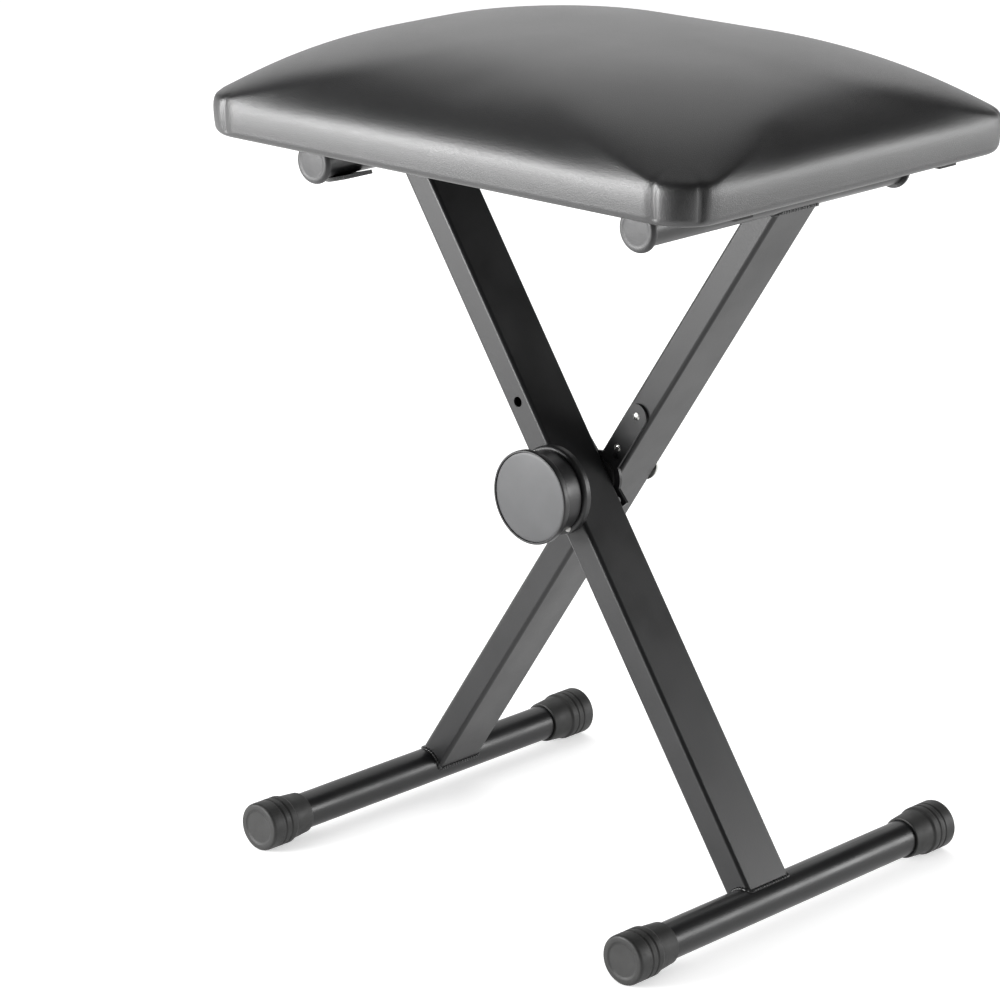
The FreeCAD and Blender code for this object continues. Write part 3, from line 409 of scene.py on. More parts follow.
def grid_faces(rows: int, columns: int, wrap_rows: bool, wrap_columns: bool) -> Array:
    """List the four corners of every face on a grid of points.

    Args:
        rows: Points along the first parameter.
        columns: Points along the second parameter.
        wrap_rows: Whether the last row joins the first.
        wrap_columns: Whether the last column joins the first.

    Returns:
        One line of four point numbers for each face.
    """
    row = np.arange(rows if wrap_rows else rows - 1)[:, None]
    column = np.arange(columns if wrap_columns else columns - 1)[None, :]
    next_row = (row + 1) % rows
    next_column = (column + 1) % columns
    corners = (
        row * columns + column,
        row * columns + next_column,
        next_row * columns + next_column,
        next_row * columns + column,
    )
    return np.stack(np.broadcast_arrays(*corners), axis=-1).reshape(-1, 4)


def surface_piece(name: str, grids: list[Array], wrap_rows: bool, wrap_columns: bool) -> bpy.types.Object:
    """Make one object of one or more grids of points that share a layout.

    Args:
        name: The piece's name.
        grids: Arrays of shape (rows, columns, 3).
        wrap_rows: Whether each grid's last row joins its first.
        wrap_columns: Whether each grid's last column joins its first.

    Returns:
        The new object, at the origin.
    """
    rows, columns = grids[0].shape[:2]
    faces = grid_faces(rows, columns, wrap_rows, wrap_columns)
    count = rows * columns
    all_faces = np.concatenate([faces + number * count for number in range(len(grids))])
    points = np.concatenate([grid.reshape(-1, 3) for grid in grids])
    mesh = bpy.data.meshes.new(name)
    mesh.from_pydata(points.tolist(), [], all_faces.tolist())
    close_mesh(mesh)
    piece = bpy.data.objects.new(name, mesh)
    bpy.context.scene.collection.objects.link(piece)
    return piece


def turned(profile: Array, centre: Array, axis: Array, side: Array, segments: int = 72) -> Array:
    """Turn a profile about an axis.

    The point at profile place (a, r) and turn w is centre + a * axis + r * (cos w * side +
    sin w * (axis x side)).

    Args:
        profile: Lines of (distance along the axis, radius).
        centre: Where the distances start.
        axis: Unit vector along the axis.
        side: Unit vector across the axis.
        segments: Steps round the axis.

    Returns:
        Points of shape (profile, segments, 3).
    """
    turns = np.arange(segments) * (2 * np.pi / segments)
    other = np.cross(axis, side)
    ring = np.cos(turns)[:, None] * side + np.sin(turns)[:, None] * other
    along = profile[:, 0][:, None, None] * axis
    return centre + along + profile[:, 1][:, None, None] * ring[None, :, :]


def eased(corners: list[tuple[float, float, float]], steps: int = 6) -> Array:
    """Round the corners of an open profile.

    Each corner (a, r, ease) is replaced by a curve that leaves the line before it at a distance
    ease, bends as (1-s)^2 P + 2 s (1-s) Q + s^2 R over s from 0 to 1, and joins the next line.

    Args:
        corners: Lines of (distance, radius, ease).
        steps: Points on each rounding.

    Returns:
        Lines of (distance, radius).
    """
    spots = np.array([corner[:2] for corner in corners])
    found = []
    share = np.linspace(0.0, 1.0, steps)[:, None]
    for number, (_, _, ease) in enumerate(corners):
        here = spots[number]
        if ease <= 0.0 or number in (0, len(corners) - 1):
            found.append(here[None, :])
            continue
        back = spots[number - 1] - here
        ahead = spots[number + 1] - here
        start = here + back / np.linalg.norm(back) * min(ease, 0.49 * np.linalg.norm(back))
        end = here + ahead / np.linalg.norm(ahead) * min(ease, 0.49 * np.linalg.norm(ahead))
        found.append((1 - share) ** 2 * start + 2 * share * (1 - share) * here + share**2 * end)
    return np.concatenate(found)


def bead(path: Array, out: Array, radius: Array, sides: int = 10) -> Array:
    """Carry a small circle along a closed path.

    The circle at each path point lies across the path's direction, in the plane of the outward
    vector and its cross product with that direction.

    Args:
        path: Points of the closed path.
        out: Outward vector at each point.
        radius: Bead radius at each point.
        sides: Points round the bead.

    Returns:
        Points of shape (path, sides, 3).
    """
    along = np.roll(path, -1, axis=0) - np.roll(path, 1, axis=0)
    along /= np.linalg.norm(along, axis=1, keepdims=True)
    across = np.cross(along, out)
    across /= np.linalg.norm(across, axis=1, keepdims=True)
    lift = np.cross(across, along)
    turns = np.arange(sides) * (2 * np.pi / sides)
    ring = np.cos(turns)[None, :, None] * across[:, None, :] + np.sin(turns)[None, :, None] * lift[:, None, :]
    return path[:, None, :] + ring * radius[:, None, None]


# The bench


@dataclass(frozen=True)
class BenchSizes:
    """Sizes that the solids already have, in metres and radians."""

    lean: float = math.radians(33.6)
    lower_length: float = 0.277
    bar_reach: float = 0.130
    leg_width: float = 0.038
    leg_depth: float = 0.019
    leg_corner: float = 0.0026
    leg_gap: float = 0.0038
    foot_bar_radius: float = 0.0115
    top_bar_radius: float = 0.0110
    plug_radius: float = 0.0135
    foot_half: float = 0.150
    cap_radius: float = 0.0155
    bar_half: float = 0.118
    knob_height: float = 0.0251
    seat_gap: float = 0.0163

    @property
    def pivot(self) -> Array:
        """The middle of the pivot, between the legs."""
        return np.array([0.0, 0.0, self.cap_radius + self.lower_length * math.cos(self.lean)])

    @property
    def knob_face(self) -> float:
        """Y of the knob's face."""
        return -(self.leg_gap / 2 + self.leg_width + self.knob_height)

    def leg_axis(self, side: int) -> Array:
        """Give the unit vector up a leg.

        Args:
            side: -1 for leg A, which leans to -X, and 1 for leg B.

        Returns:
            The unit vector from foot bar to top bar.
        """
        return np.array([side * math.sin(self.lean), 0.0, math.cos(self.lean)])

    def foot(self, side: int) -> Array:
        """Give the middle of a leg's foot bar."""
        return self.pivot - self.lower_length * self.leg_axis(side)

    def top(self, side: int) -> Array:
        """Give the middle of a leg's top bar."""
        return self.pivot + self.bar_reach / math.sin(self.lean) * self.leg_axis(side)

    @property
    def seat_floor(self) -> float:
        """Z of the underside of the seat."""
        return float(self.top(1)[2]) + self.seat_gap


@dataclass
class Workshop:
    """What every sub-assembly needs: the sizes, the finishes and how a piece is handed over."""

    sizes: BenchSizes
    finishes: FinishRack

    def hand_over(self, piece: bpy.types.Object, body: Body, slot: Slot, *nodes: str) -> bpy.types.Object:
        """Dress a piece, let it ride on its body and report it.

        Args:
            piece: The finished piece.
            body: The body it moves with.
            slot: The finish it wears.
            *nodes: The solids that it stands for.

        Returns:
            The same piece.
        """
        self.finishes.dress(piece, slot)
        if nodes:
            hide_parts(*nodes)
        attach(piece, body.value)
        LOG.info("piece %s rides on %s", piece.name, body.value)
        return piece


    def end_pieces(
        self, name: str, node: str, profile: Array, middle: Callable, half: float, slot: Slot
    ) -> None:
        """Make one turned piece at each end of one bar on both legs.

        Args:
            name: Start of the pieces' names.
            node: Start of the names of the solids that they stand for.
            profile: Lines of (distance from the end, radius).
            middle: Gives the bar's middle for a leg's side.
            half: Half the bar's length to the pieces' outer ends.
            slot: The finish.
        """
        for side, letter, body in LEGS:
            for way, end in ENDS:
                points = turned(profile, middle(side) + way * half * Y_AXIS, -way * Y_AXIS, X_AXIS)
                piece = surface_piece(f"{name}_{letter}_{end}", [points], False, True)
                self.hand_over(piece, body, slot, f"{node}_{letter}_{end}")


@dataclass
class SeatCushion:
    """The padded seat: a crowned cover drawn over the board, with pleats at its corners."""

    shop: Workshop
    length: float = 0.392
    width: float = 0.300
    corner: float = 0.027
    band: float = 0.015
    crown: float = 0.048
    undercut: float = 0.0008
    underside_shares: tuple[float, ...] = (0.0, 0.4, 0.8, 0.96)
    underside_lift: float = 0.0004
    lip_insets: tuple[float, ...] = (0.0135, 0.0105, 0.0085)
    lip_shares: tuple[float, ...] = (0.1, 0.6, 0.9)
    lip_reach: float = 0.012
    roll_steps: int = 11
    side_steps: int = 8
    crown_steps: int = 44
    widest_corner: float = 0.9
    roll: float = 0.006
    plan_power: float = 3.0
    rise_power: float = 0.48
    spare: float = 0.0012
    sag: float = 0.0024
    voxel: float = 0.005
    held_height: float = 0.004
    pressure: float = 4.0
    frames: int = 20
    cloth_scale: float = 0.992
    cloth_quality: int = 6
    cloth_mass: float = 0.25
    stretch_stiffness: float = 25.0
    shear_stiffness: float = 12.0
    bending_stiffness: float = 2.5
    blend_reach: float = 0.012
    chunk: int = 400
    most_swell: float = 0.0025
    swell_start: float = 0.008
    swell_full: float = 0.040
    pleat_turns: tuple[float, ...] = (41.0, -17.0)
    pleat_depth: float = 0.0016
    pleat_width: float = 0.0019

    def outline(self, half_x: Array, half_y: Array, corner: Array, height: Array) -> Array:
        """Draw level rounded rectangles, one for each height.

        A corner's point at turn w is its centre plus corner * (cos w, sin w). Points on a straight
        side divide the way from one corner's end to the next corner's start evenly.

        Args:
            half_x: Half size along X at each height.
            half_y: Half size along Y at each height.
            corner: Corner radius at each height.
            height: The heights.

        Returns:
            Points of shape (heights, points round, 3).
        """
        arc = np.linspace(0.0, np.pi / 2, 15)
        line = np.linspace(0.0, 1.0, 26)[1:-1]
        quarter = np.arange(4)
        turns = (quarter[:, None] * np.pi / 2 + arc[None, :]).ravel()
        which = np.repeat(quarter, arc.size)
        sign_x = np.array([1.0, -1.0, -1.0, 1.0])
        sign_y = np.array([1.0, 1.0, -1.0, -1.0])

        def corner_point(number: Array, turn: Array) -> Array:
            """Give points on the corners at the given turns, for every height."""
            x = sign_x[number] * (half_x - corner)[:, None] + corner[:, None] * np.cos(turn)
            y = sign_y[number] * (half_y - corner)[:, None] + corner[:, None] * np.sin(turn)
            return np.stack([x, y], axis=-1)

        arcs = corner_point(which, turns).reshape(half_x.size, 4, arc.size, 2)
        ends = arcs[:, :, -1, :]
        starts = np.roll(arcs[:, :, 0, :], -1, axis=1)
        lines = ends[:, :, None, :] + line[None, None, :, None] * (starts - ends)[:, :, None, :]
        flat = np.concatenate([arcs, lines], axis=2).reshape(half_x.size, -1, 2)
        level = np.broadcast_to(height[:, None, None], flat.shape[:2] + (1,))
        return np.concatenate([flat, level], axis=2)

    def rings(self) -> Array:
        """Work out the cover from the middle of its underside to the middle of its top.

        The lower edge is a quarter circle of radius roll that hangs below the board by sag. At a
        share s of its height the side is drawn in by undercut * (1 - s)^2. Over the crown, at turn w
        from 0 to a right angle, the outline has cos(w)^(2/plan power) of the seat's half sizes at
        sin(w)^(2 * rise power) of the crown, and its corners open out until it is nearly round.

        Returns:
            Points of shape (rings, points round, 3).
        """
        half_x = self.length / 2 + self.spare
        half_y = self.width / 2 + self.spare
        corner = self.corner + self.spare
        under = np.array(self.underside_shares)
        turn = np.linspace(0.0, np.pi / 2, self.roll_steps)
        pull = self.roll * (1 - np.sin(turn))
        rise = self.roll * (1 - np.cos(turn)) - self.sag
        lip_inset = np.array(self.lip_insets)
        lip_drop = -self.sag * np.array(self.lip_shares)
        side = np.linspace(0.0, 1.0, self.side_steps)[1:]
        lean = -self.undercut * (1 - side) ** 2
        inset = self.undercut + pull
        over = np.linspace(0.0, np.pi / 2, self.crown_steps)[1:-1]
        reach = np.cos(over) ** (2 / self.plan_power)
        diagonal = (1 - np.sin(over)) ** (1 / self.plan_power)
        crown_corner = np.maximum(half_x * (reach - diagonal) / (1 - math.sqrt(0.5)), corner)
        crown_corner = np.minimum(crown_corner, self.widest_corner * half_y * reach)
        inner = self.roll + self.lip_reach

        def half_sizes(half: float) -> Array:
            """Give the half size along one axis at every ring."""
            parts = (half - inner) * under, half - lip_inset, half - inset, half + lean, half * reach, [0.0]
            return np.concatenate(parts)

        corners = np.concatenate([
            (corner - inner) * under, corner - lip_inset, corner - inset,
            corner + lean, crown_corner, [0.0]])
        heights = np.concatenate([
            np.full(under.size, self.underside_lift), lip_drop, rise, self.roll - self.sag
            + (self.band - self.roll + self.sag) * side,
            self.band + self.crown * np.sin(over) ** (2 * self.rise_power), [self.band + self.crown]])
        level = heights + self.shop.sizes.seat_floor
        return self.outline(half_sizes(half_x), half_sizes(half_y), corners, level)

    def swell(self, cover: Array) -> Array:
        """Blow an evenly meshed copy of the cover up as cloth and carry its movement over.

        The copy is held at its underside. Each point of the cover moves by the mean movement of
        the copy's points, weighted by exp(-(d / reach)^2) for a point at distance d, faded out
        towards the lower edge and kept below the most swell by a hyperbolic tangent.

        Args:
            cover: The cover's points, of shape (rings, points round, 3).

        Returns:
            The moved points.
        """
        middle = cover.reshape(-1, 3).mean(axis=0)
        piece = surface_piece("cover_cloth", [middle + (cover - middle) * self.cloth_scale], False, True)
        remesh = piece.modifiers.new("even", "REMESH")
        remesh.mode = "VOXEL"
        remesh.voxel_size = self.voxel
        self.keep_modifiers(piece)
        rest = self.points(piece)
        floor = self.shop.sizes.seat_floor
        held = piece.vertex_groups.new(name="held")
        low = np.flatnonzero(rest[:, 2] < floor + self.held_height)
        held.add(low.tolist(), 1.0, "REPLACE")
        cloth = piece.modifiers.new("cover", "CLOTH")
        cloth.settings.quality = self.cloth_quality
        cloth.settings.mass = self.cloth_mass
        cloth.settings.tension_stiffness = self.stretch_stiffness
        cloth.settings.compression_stiffness = self.stretch_stiffness
        cloth.settings.shear_stiffness = self.shear_stiffness
        cloth.settings.bending_stiffness = self.bending_stiffness
        cloth.settings.use_pressure = True
        cloth.settings.uniform_pressure_force = self.pressure
        cloth.settings.vertex_group_mass = "held"
        cloth.settings.effector_weights.gravity = 0.0
        cloth.collision_settings.use_collision = False
        cloth.point_cache.frame_start = 1
        cloth.point_cache.frame_end = self.frames
        scene = bpy.context.scene
        for number in range(1, self.frames + 1):
            scene.frame_set(number)
        graph = bpy.context.evaluated_depsgraph_get()
        blown = np.empty(rest.size, dtype=np.float32)
        piece.evaluated_get(graph).data.vertices.foreach_get("co", blown)
        moved = blown.reshape(-1, 3) - rest
        scene.frame_set(1)
        bpy.data.objects.remove(piece)
        spots = cover.reshape(-1, 3)
        shifts = [
            self.mean_shift(chunk, rest, moved)
            for chunk in np.array_split(spots, max(1, len(spots) // self.chunk))
        ]
        shift = np.concatenate(shifts)
        distance = np.linalg.norm(shift, axis=1, keepdims=True)
        shift *= self.most_swell * np.tanh(distance / self.most_swell) / np.maximum(distance, 1e-9)
        fade = (spots[:, 2:] - floor - self.swell_start) / (self.swell_full - self.swell_start)
        fade = np.clip(fade, 0.0, 1.0)
        shift *= fade * fade * (3 - 2 * fade)
        LOG.info("the cover swelled by at most %.1f mm", 1000 * float(np.linalg.norm(shift, axis=1).max()))
        return (spots + shift).reshape(cover.shape)

    def mean_shift(self, spots: Array, rest: Array, moved: Array) -> Array:
        """Average the movement of the cloth's points round each of some spots.

        Args:
            spots: The places to find the movement at.
            rest: The cloth's points before it moved.
            moved: How far each of them moved.

        Returns:
            The movement at each spot.
        """
        square = ((spots[:, None, :] - rest[None, :, :]) ** 2).sum(axis=2)
        weight = np.exp(-square / self.blend_reach**2)
        weight /= np.maximum(weight.sum(axis=1, keepdims=True), 1e-12)
        return weight @ moved

    @staticmethod
    def points(piece: bpy.types.Object) -> Array:
        """Read a piece's vertices as lines of x, y and z."""
        found = np.empty(len(piece.data.vertices) * 3, dtype=np.float32)
        piece.data.vertices.foreach_get("co", found)
        return found.reshape(-1, 3).astype(float)

    @staticmethod
    def keep_modifiers(piece: bpy.types.Object) -> None:
        """Replace a piece's mesh by what its modifiers make of it."""
        graph = bpy.context.evaluated_depsgraph_get()
        mesh = bpy.data.meshes.new_from_object(piece.evaluated_get(graph))
        piece.modifiers.clear()
        piece.data = mesh

    def pleat(self, piece: bpy.types.Object) -> None:
        """Press folds into the cover's corners.

        Near each fold the point moves in by depth * exp(-(s / width)^2) * fade, where s is the
        distance round the corner from the fold and fade falls from 1 at the lower edge to 0 on
        the shoulder. Beside the fold the cover stands a little proud in the same way.

        Args:
            piece: The cover.
        """
        spots = self.points(piece)
        centre_x = self.length / 2 - self.corner
        centre_y = self.width / 2 - self.corner
        from_x = np.abs(spots[:, 0]) - centre_x
        from_y = np.abs(spots[:, 1]) - centre_y
        distance = np.hypot(from_x, from_y)
        turn = np.arctan2(from_y, from_x)
        rise = spots[:, 2] - self.shop.sizes.seat_floor
        fade = np.clip(1.0 - (rise - 0.012) / 0.022, 0.0, 1.0)
        fade = fade * fade * (3 - 2 * fade) * np.clip(rise / 0.002, 0.0, 1.0)
        at_corner = np.clip((distance - 0.012) / 0.008, 0.0, 1.0)
        push = np.zeros(len(spots))
        for degrees in self.pleat_turns:
            fold_turn = math.radians(45.0 + degrees)
            along = (turn - fold_turn) * self.corner
            push -= self.pleat_depth * np.exp(-((along / self.pleat_width) ** 2))
            beside = along + math.copysign(2.4 * self.pleat_width, -degrees)
            push += 0.3 * self.pleat_depth * np.exp(-((beside / (1.6 * self.pleat_width)) ** 2))
        push *= fade * at_corner
        out = np.stack([np.cos(turn) * np.sign(spots[:, 0]), np.sin(turn) * np.sign(spots[:, 1])], axis=1)
        spots[:, :2] += out * push[:, None]
        piece.data.vertices.foreach_set("co", spots.astype(np.float32).ravel())
        piece.data.update()

    def build(self) -> bpy.types.Object:
        """Make the cushion and hand it over.

        Returns:
            The cushion.
        """
        cover = self.rings()
        cover = self.swell(cover)
        piece = surface_piece("cushion", [cover], False, True)
        smooth = piece.modifiers.new("finer", "SUBSURF")
        smooth.levels = 1
        smooth.render_levels = 1
        self.keep_modifiers(piece)
        self.pleat(piece)
        close_mesh(piece.data, 60.0)
        self.shop.hand_over(piece, Body.SEAT, Slot.SEAT_LEATHER, "seat_cover", "seat_foam")
        return piece


@dataclass
class FootCaps:
    """The rubber caps on the foot bars, with a ridge where they start to taper."""

    shop: Workshop
    body: float = 0.020
    taper: float = 0.016
    mouth: float = 0.01315
    bore: float = 0.01155
    floor: float = 0.0048
    first_groove: float = 0.0092
    second_groove: float = 0.0142
    groove_depth: float = 0.0005
    groove_width: float = 0.0020
    groove_slope: float = 0.0004

    def groove(self, start: float) -> list[tuple[float, float, float]]:
        """Give the corners of one shallow groove round the cap, with its start along the axis."""
        top = self.shop.sizes.cap_radius
        low = top - self.groove_depth
        end = start + self.groove_width
        return [
            (start, top, 0.0004),
            (start + self.groove_slope, low, 0.0003),
            (end - self.groove_slope, low, 0.0003),
            (end, top, 0.0004),
        ]

    def profile(self) -> Array:
        """Draw the cap from the middle of its end face to the middle of its bore's floor."""
        radius = self.shop.sizes.cap_radius
        end = self.body + self.taper
        return eased([
            (0.0006, 0.0, 0.0),
            (0.0006, radius - 0.0052, 0.0006),
            (0.0, radius - 0.0040, 0.0006),
            (0.0, radius, 0.0024),
            *self.groove(self.first_groove),
            *self.groove(self.second_groove),
            (self.body, radius, 0.0008),
            (self.body + 0.0012, radius - 0.0011, 0.0008),
            (self.body + 0.0050, radius - 0.0014, 0.0020),
            (end, self.mouth, 0.0006),
            (end, self.bore, 0.0004),
            (self.floor, self.bore, 0.0),
            (self.floor, 0.0, 0.0),
        ])

    def build(self) -> None:
        """Make all four caps."""
        sizes = self.shop.sizes
        self.shop.end_pieces(
            "rubber_cap", "foot_cap", self.profile(), sizes.foot, sizes.foot_half, Slot.FOOT_RUBBER)


@dataclass
class BarPlugs:
    """The low domed plugs in the ends of the top bars, with a raised rim round each face."""

    shop: Workshop
    head: float = 0.004
    spigot: float = 0.0094

    def profile(self) -> Array:
        """Draw a plug from the middle of its face to the inner end of its spigot."""
        radius = self.shop.sizes.plug_radius
        return eased([
            (-0.0002, 0.0, 0.0),
            (0.0004, radius - 0.0042, 0.0010),
            (0.0001, radius - 0.0030, 0.0008),
            (0.0004, radius - 0.0012, 0.0010),
            (0.0022, radius, 0.0014),
            (self.head - 0.0001, radius, 0.0003),
            (self.head - 0.0001, self.spigot, 0.0002),
            (self.head + 0.012, self.spigot, 0.0010),
            (self.head + 0.012, 0.0, 0.0),
        ])

    def build(self) -> None:
        """Make all four plugs."""
        sizes = self.shop.sizes
        self.shop.end_pieces(
            "bar_plug", "top_plug", self.profile(), sizes.top, sizes.bar_half, Slot.PLUG_PLASTIC)


@dataclass
class PullKnob:
    """The round pull knob: a rim, a narrower waist and a shallow face disc."""

    shop: Workshop
    rim: float = 0.0294
    rim_length: float = 0.0046
    waist: float = 0.0255
    disc: float = 0.0278
    segments: int = 96

    def build(self) -> None:
        """Make the knob's body and its face disc."""
        sizes = self.shop.sizes
        pivot = sizes.pivot
        face = np.array([pivot[0], sizes.knob_face, pivot[2]])
        depth = sizes.knob_height - 0.0056
        body = eased([
            (0.0026, 0.0, 0.0),
            (0.0026, self.disc + 0.0001, 0.0),
            (0.0001, self.disc + 0.0001, 0.0003),
            (0.0001, self.rim, 0.0015),
            (self.rim_length, self.rim, 0.0012),
            (self.rim_length + 0.0016, self.waist, 0.0016),
            (depth, self.waist, 0.0006),
            (depth, 0.0150, 0.0004),
            (depth + 0.0048, 0.0150, 0.0003),
            (depth + 0.0048, 0.0060, 0.0),
            (depth, 0.0060, 0.0),
            (depth, 0.0, 0.0),
        ])
        shell = surface_piece("knob_grip", [turned(body, face, Y_AXIS, X_AXIS, self.segments)], False, True)
        self.shop.hand_over(shell, Body.KNOB, Slot.KNOB_PLASTIC, "knob_body")
        spread = np.linspace(0.0, 1.0, 20)
        dome = np.stack([0.0008 * spread**2, (self.disc - 0.0005) * spread], axis=1)
        edge = eased([
            (0.0008, self.disc - 0.0005, 0.0),
            (0.0009, self.disc, 0.0003),
            (0.0024, self.disc, 0.0),
            (0.0024, 0.0, 0.0),
        ], 4)
        profile = np.concatenate([dome, edge[1:]])
        disc = surface_piece("knob_disc", [turned(profile, face, Y_AXIS, X_AXIS, self.segments)], False, True)
        self.shop.hand_over(disc, Body.KNOB, Slot.KNOB_DISC, "knob_face")


@dataclass
class WeldBeads:
    """The weld beads where each leg meets its foot bar and its top bar."""

    shop: Workshop
    radius: float = 0.0013
    ripple: float = 0.00022
    ripple_pitch: float = 0.0021

    def path(self, bar: Array, up: Array, middle_y: float, bar_radius: float) -> tuple[Array, Array]:
        """Follow the leg's rounded outline over the surface of a bar.

        A point of the outline at (a across, y along the bar) lies at a height sqrt(R^2 - a^2)
        from the bar's axis, in the leg's direction.

        Args:
            bar: The middle of the bar.
            up: Unit vector from the bar's axis towards the leg.
            middle_y: Y of the leg's middle.
            bar_radius: The bar's radius R.

        Returns:
            The path's points and the outward vector at each.
        """
        sizes = self.shop.sizes
        half_a = sizes.leg_depth / 2
        half_y = sizes.leg_width / 2
        corner = sizes.leg_corner
        turn = np.linspace(0.0, np.pi / 2, 7)
        line_a = np.linspace(-1.0, 1.0, 22)[1:-1] * (half_a - corner)
        line_y = np.linspace(-1.0, 1.0, 44)[1:-1] * (half_y - corner)
        quarters = [
            (half_a - corner + corner * np.cos(turn), half_y - corner + corner * np.sin(turn)),
            (-line_a, np.full(line_a.size, half_y)),
            (-half_a + corner - corner * np.sin(turn), half_y - corner + corner * np.cos(turn)),
            (np.full(line_y.size, -half_a), -line_y),
            (-half_a + corner - corner * np.cos(turn), -half_y + corner - corner * np.sin(turn)),
            (line_a, np.full(line_a.size, -half_y)),
            (half_a - corner + corner * np.sin(turn), -half_y + corner - corner * np.cos(turn)),
            (np.full(line_y.size, half_a), line_y),
        ]
        across = np.concatenate([quarter[0] for quarter in quarters])
        along = np.concatenate([quarter[1] for quarter in quarters])
        height = np.sqrt(bar_radius**2 - across**2)
        side = np.array([up[2], 0.0, -up[0]])
        points = bar + across[:, None] * side + height[:, None] * up
        points[:, 1] += middle_y + along
        out = (across / half_a)[:, None] ** 3 * side + up
        out[:, 1] += (along / half_y) ** 5
        return points, out / np.linalg.norm(out, axis=1, keepdims=True)

    def build(self) -> None:
        """Make the four beads."""
        sizes = self.shop.sizes
        leg_y = (sizes.leg_gap + sizes.leg_width) / 2
        for side, letter, body in LEGS:
            up = sizes.leg_axis(side)
            joints = (
                ("foot", sizes.foot(side), up, sizes.foot_bar_radius),
                ("top", sizes.top(side), -up, sizes.top_bar_radius),
            )
            for name, bar, way, bar_radius in joints:
                points, out = self.path(bar, way, side * leg_y, bar_radius)
                step = np.linalg.norm(np.roll(points, -1, axis=0) - points, axis=1)
                run = np.concatenate([[0.0], np.cumsum(step)[:-1]])
                ripples = round(float(step.sum()) / self.ripple_pitch)
                wave = np.sin(run / step.sum() * ripples * 2 * np.pi)
                grid = bead(points, out, self.radius + self.ripple * wave)
                piece = surface_piece(f"weld_{name}_{letter}", [grid], True, True)
                self.shop.hand_over(piece, body, Slot.FRAME_PAINT)


@dataclass
class SmallFasteners:
    """Domed rivet heads and cross-slotted screw heads."""

    shop: Workshop
    bracket_y: float = 0.093
    screw_radius: float = 0.0040
    screw_height: float = 0.0014
    slot_half: float = 0.00045
    slot_reach: float = 0.0023
    slot_depth: float = 0.0009
    rivet_radius: float = 0.0025
    rivet_height: float = 0.0008
    rivet_segments: int = 28
    rivet_reaches: tuple[float, float] = (0.0246, 0.0520)

    def screw_spots(self) -> Array:
        """List the middles of the screw heads' seats as lines of x and y."""
        sizes = self.shop.sizes
        bar_x = float(sizes.top(1)[0])
        hooks = np.array([
            [along - bar_x, way * self.bracket_y] for way in (-1, 1) for along in (0.024, 0.038)])
        rests = np.array([
            [along + bar_x, way * self.bracket_y + beside * 0.0134]
            for way in (-1, 1) for along in (0.006, 0.033) for beside in (-1, 1)])
        return np.concatenate([hooks, rests])

    def screw_head(self, x: float, y: float, z: float, turn: float) -> Array:
        """Draw one pan head that points down, with a cross slot.

        At radius share s the head drops by height * (1 - s^4)^(1/2). Inside the cross, where the
        smaller of |p| and |q| is under the slot's half width, it is pressed back in.

        Args:
            x: Place along X.
            y: Place along Y.
            z: The seat that the head bears on.
            turn: How far the cross is turned.

        Returns:
            Points of shape (rings, points round, 3).
        """
        share = np.concatenate([[0.0], np.linspace(0.06, 1.0, 26), [1.0, 0.0]])
        angle = np.arange(64) * (2 * np.pi / 64)
        radius = share[:, None] * self.screw_radius
        p = radius * np.cos(angle)
        q = radius * np.sin(angle)
        drop = self.screw_height * np.sqrt(np.clip(1 - share**4, 0.0, 1.0))[:, None] + 0.0 * p
        drop[-2:] = 0.0
        near = np.minimum(np.abs(p), np.abs(q))
        inside = 1 / (1 + np.exp((near - self.slot_half) / 0.00012))
        inside *= 1 / (1 + np.exp((radius - self.slot_reach) / 0.00015))
        inside[-2:] = 0.0
        drop = drop - self.slot_depth * inside
        cos_turn = math.cos(turn)
        sin_turn = math.sin(turn)
        return np.stack([x + p * cos_turn - q * sin_turn, y + p * sin_turn + q * cos_turn, z - drop], axis=-1)

    def rivet_head(self, centre: Array, axis: Array, radius: float, height: float) -> Array:
        """Draw a low dome with an axis along Y; its height falls as height * (1 - s^2) at share s."""
        share = np.linspace(0.0, 1.0, 10)
        dome = np.stack([height * (1 - share**2), radius * share], axis=1)
        profile = np.concatenate([dome, [[-0.0004, radius], [-0.0004, 0.0]]])
        return turned(profile, centre, axis, X_AXIS, self.rivet_segments)

    def build(self) -> None:
        """Make the screw heads and the rivet heads."""
        sizes = self.shop.sizes
        seat = sizes.seat_floor - 0.0006 - 0.0025
        grids = [
            self.screw_head(float(x), float(y), seat, 0.7 * number)
            for number, (x, y) in enumerate(self.screw_spots())
        ]
        screws = surface_piece("screw_heads", grids, False, True)
        self.shop.hand_over(screws, Body.SEAT, Slot.ZINC_STEEL, "bracket_screws")
        plate_y = sizes.leg_gap / 2 - 0.0020
        face = sizes.pivot + plate_y * Y_AXIS
        plate = [
            self.rivet_head(face + reach * sizes.leg_axis(1), -Y_AXIS, self.rivet_radius, self.rivet_height)
            for reach in self.rivet_reaches
        ]
        piece = surface_piece("plate_rivet_heads", plate, False, True)
        self.shop.hand_over(piece, Body.LEG_B, Slot.ZINC_STEEL, "plate_rivets")


# The studio


@dataclass(frozen=True)
class Lamp:
    """One soft lamp: which way it stands from the bench, how far, how large and how strong."""

    name: str
    way: tuple[float, float, float]
    distance: float
    width: float
    height: float
    watts: float


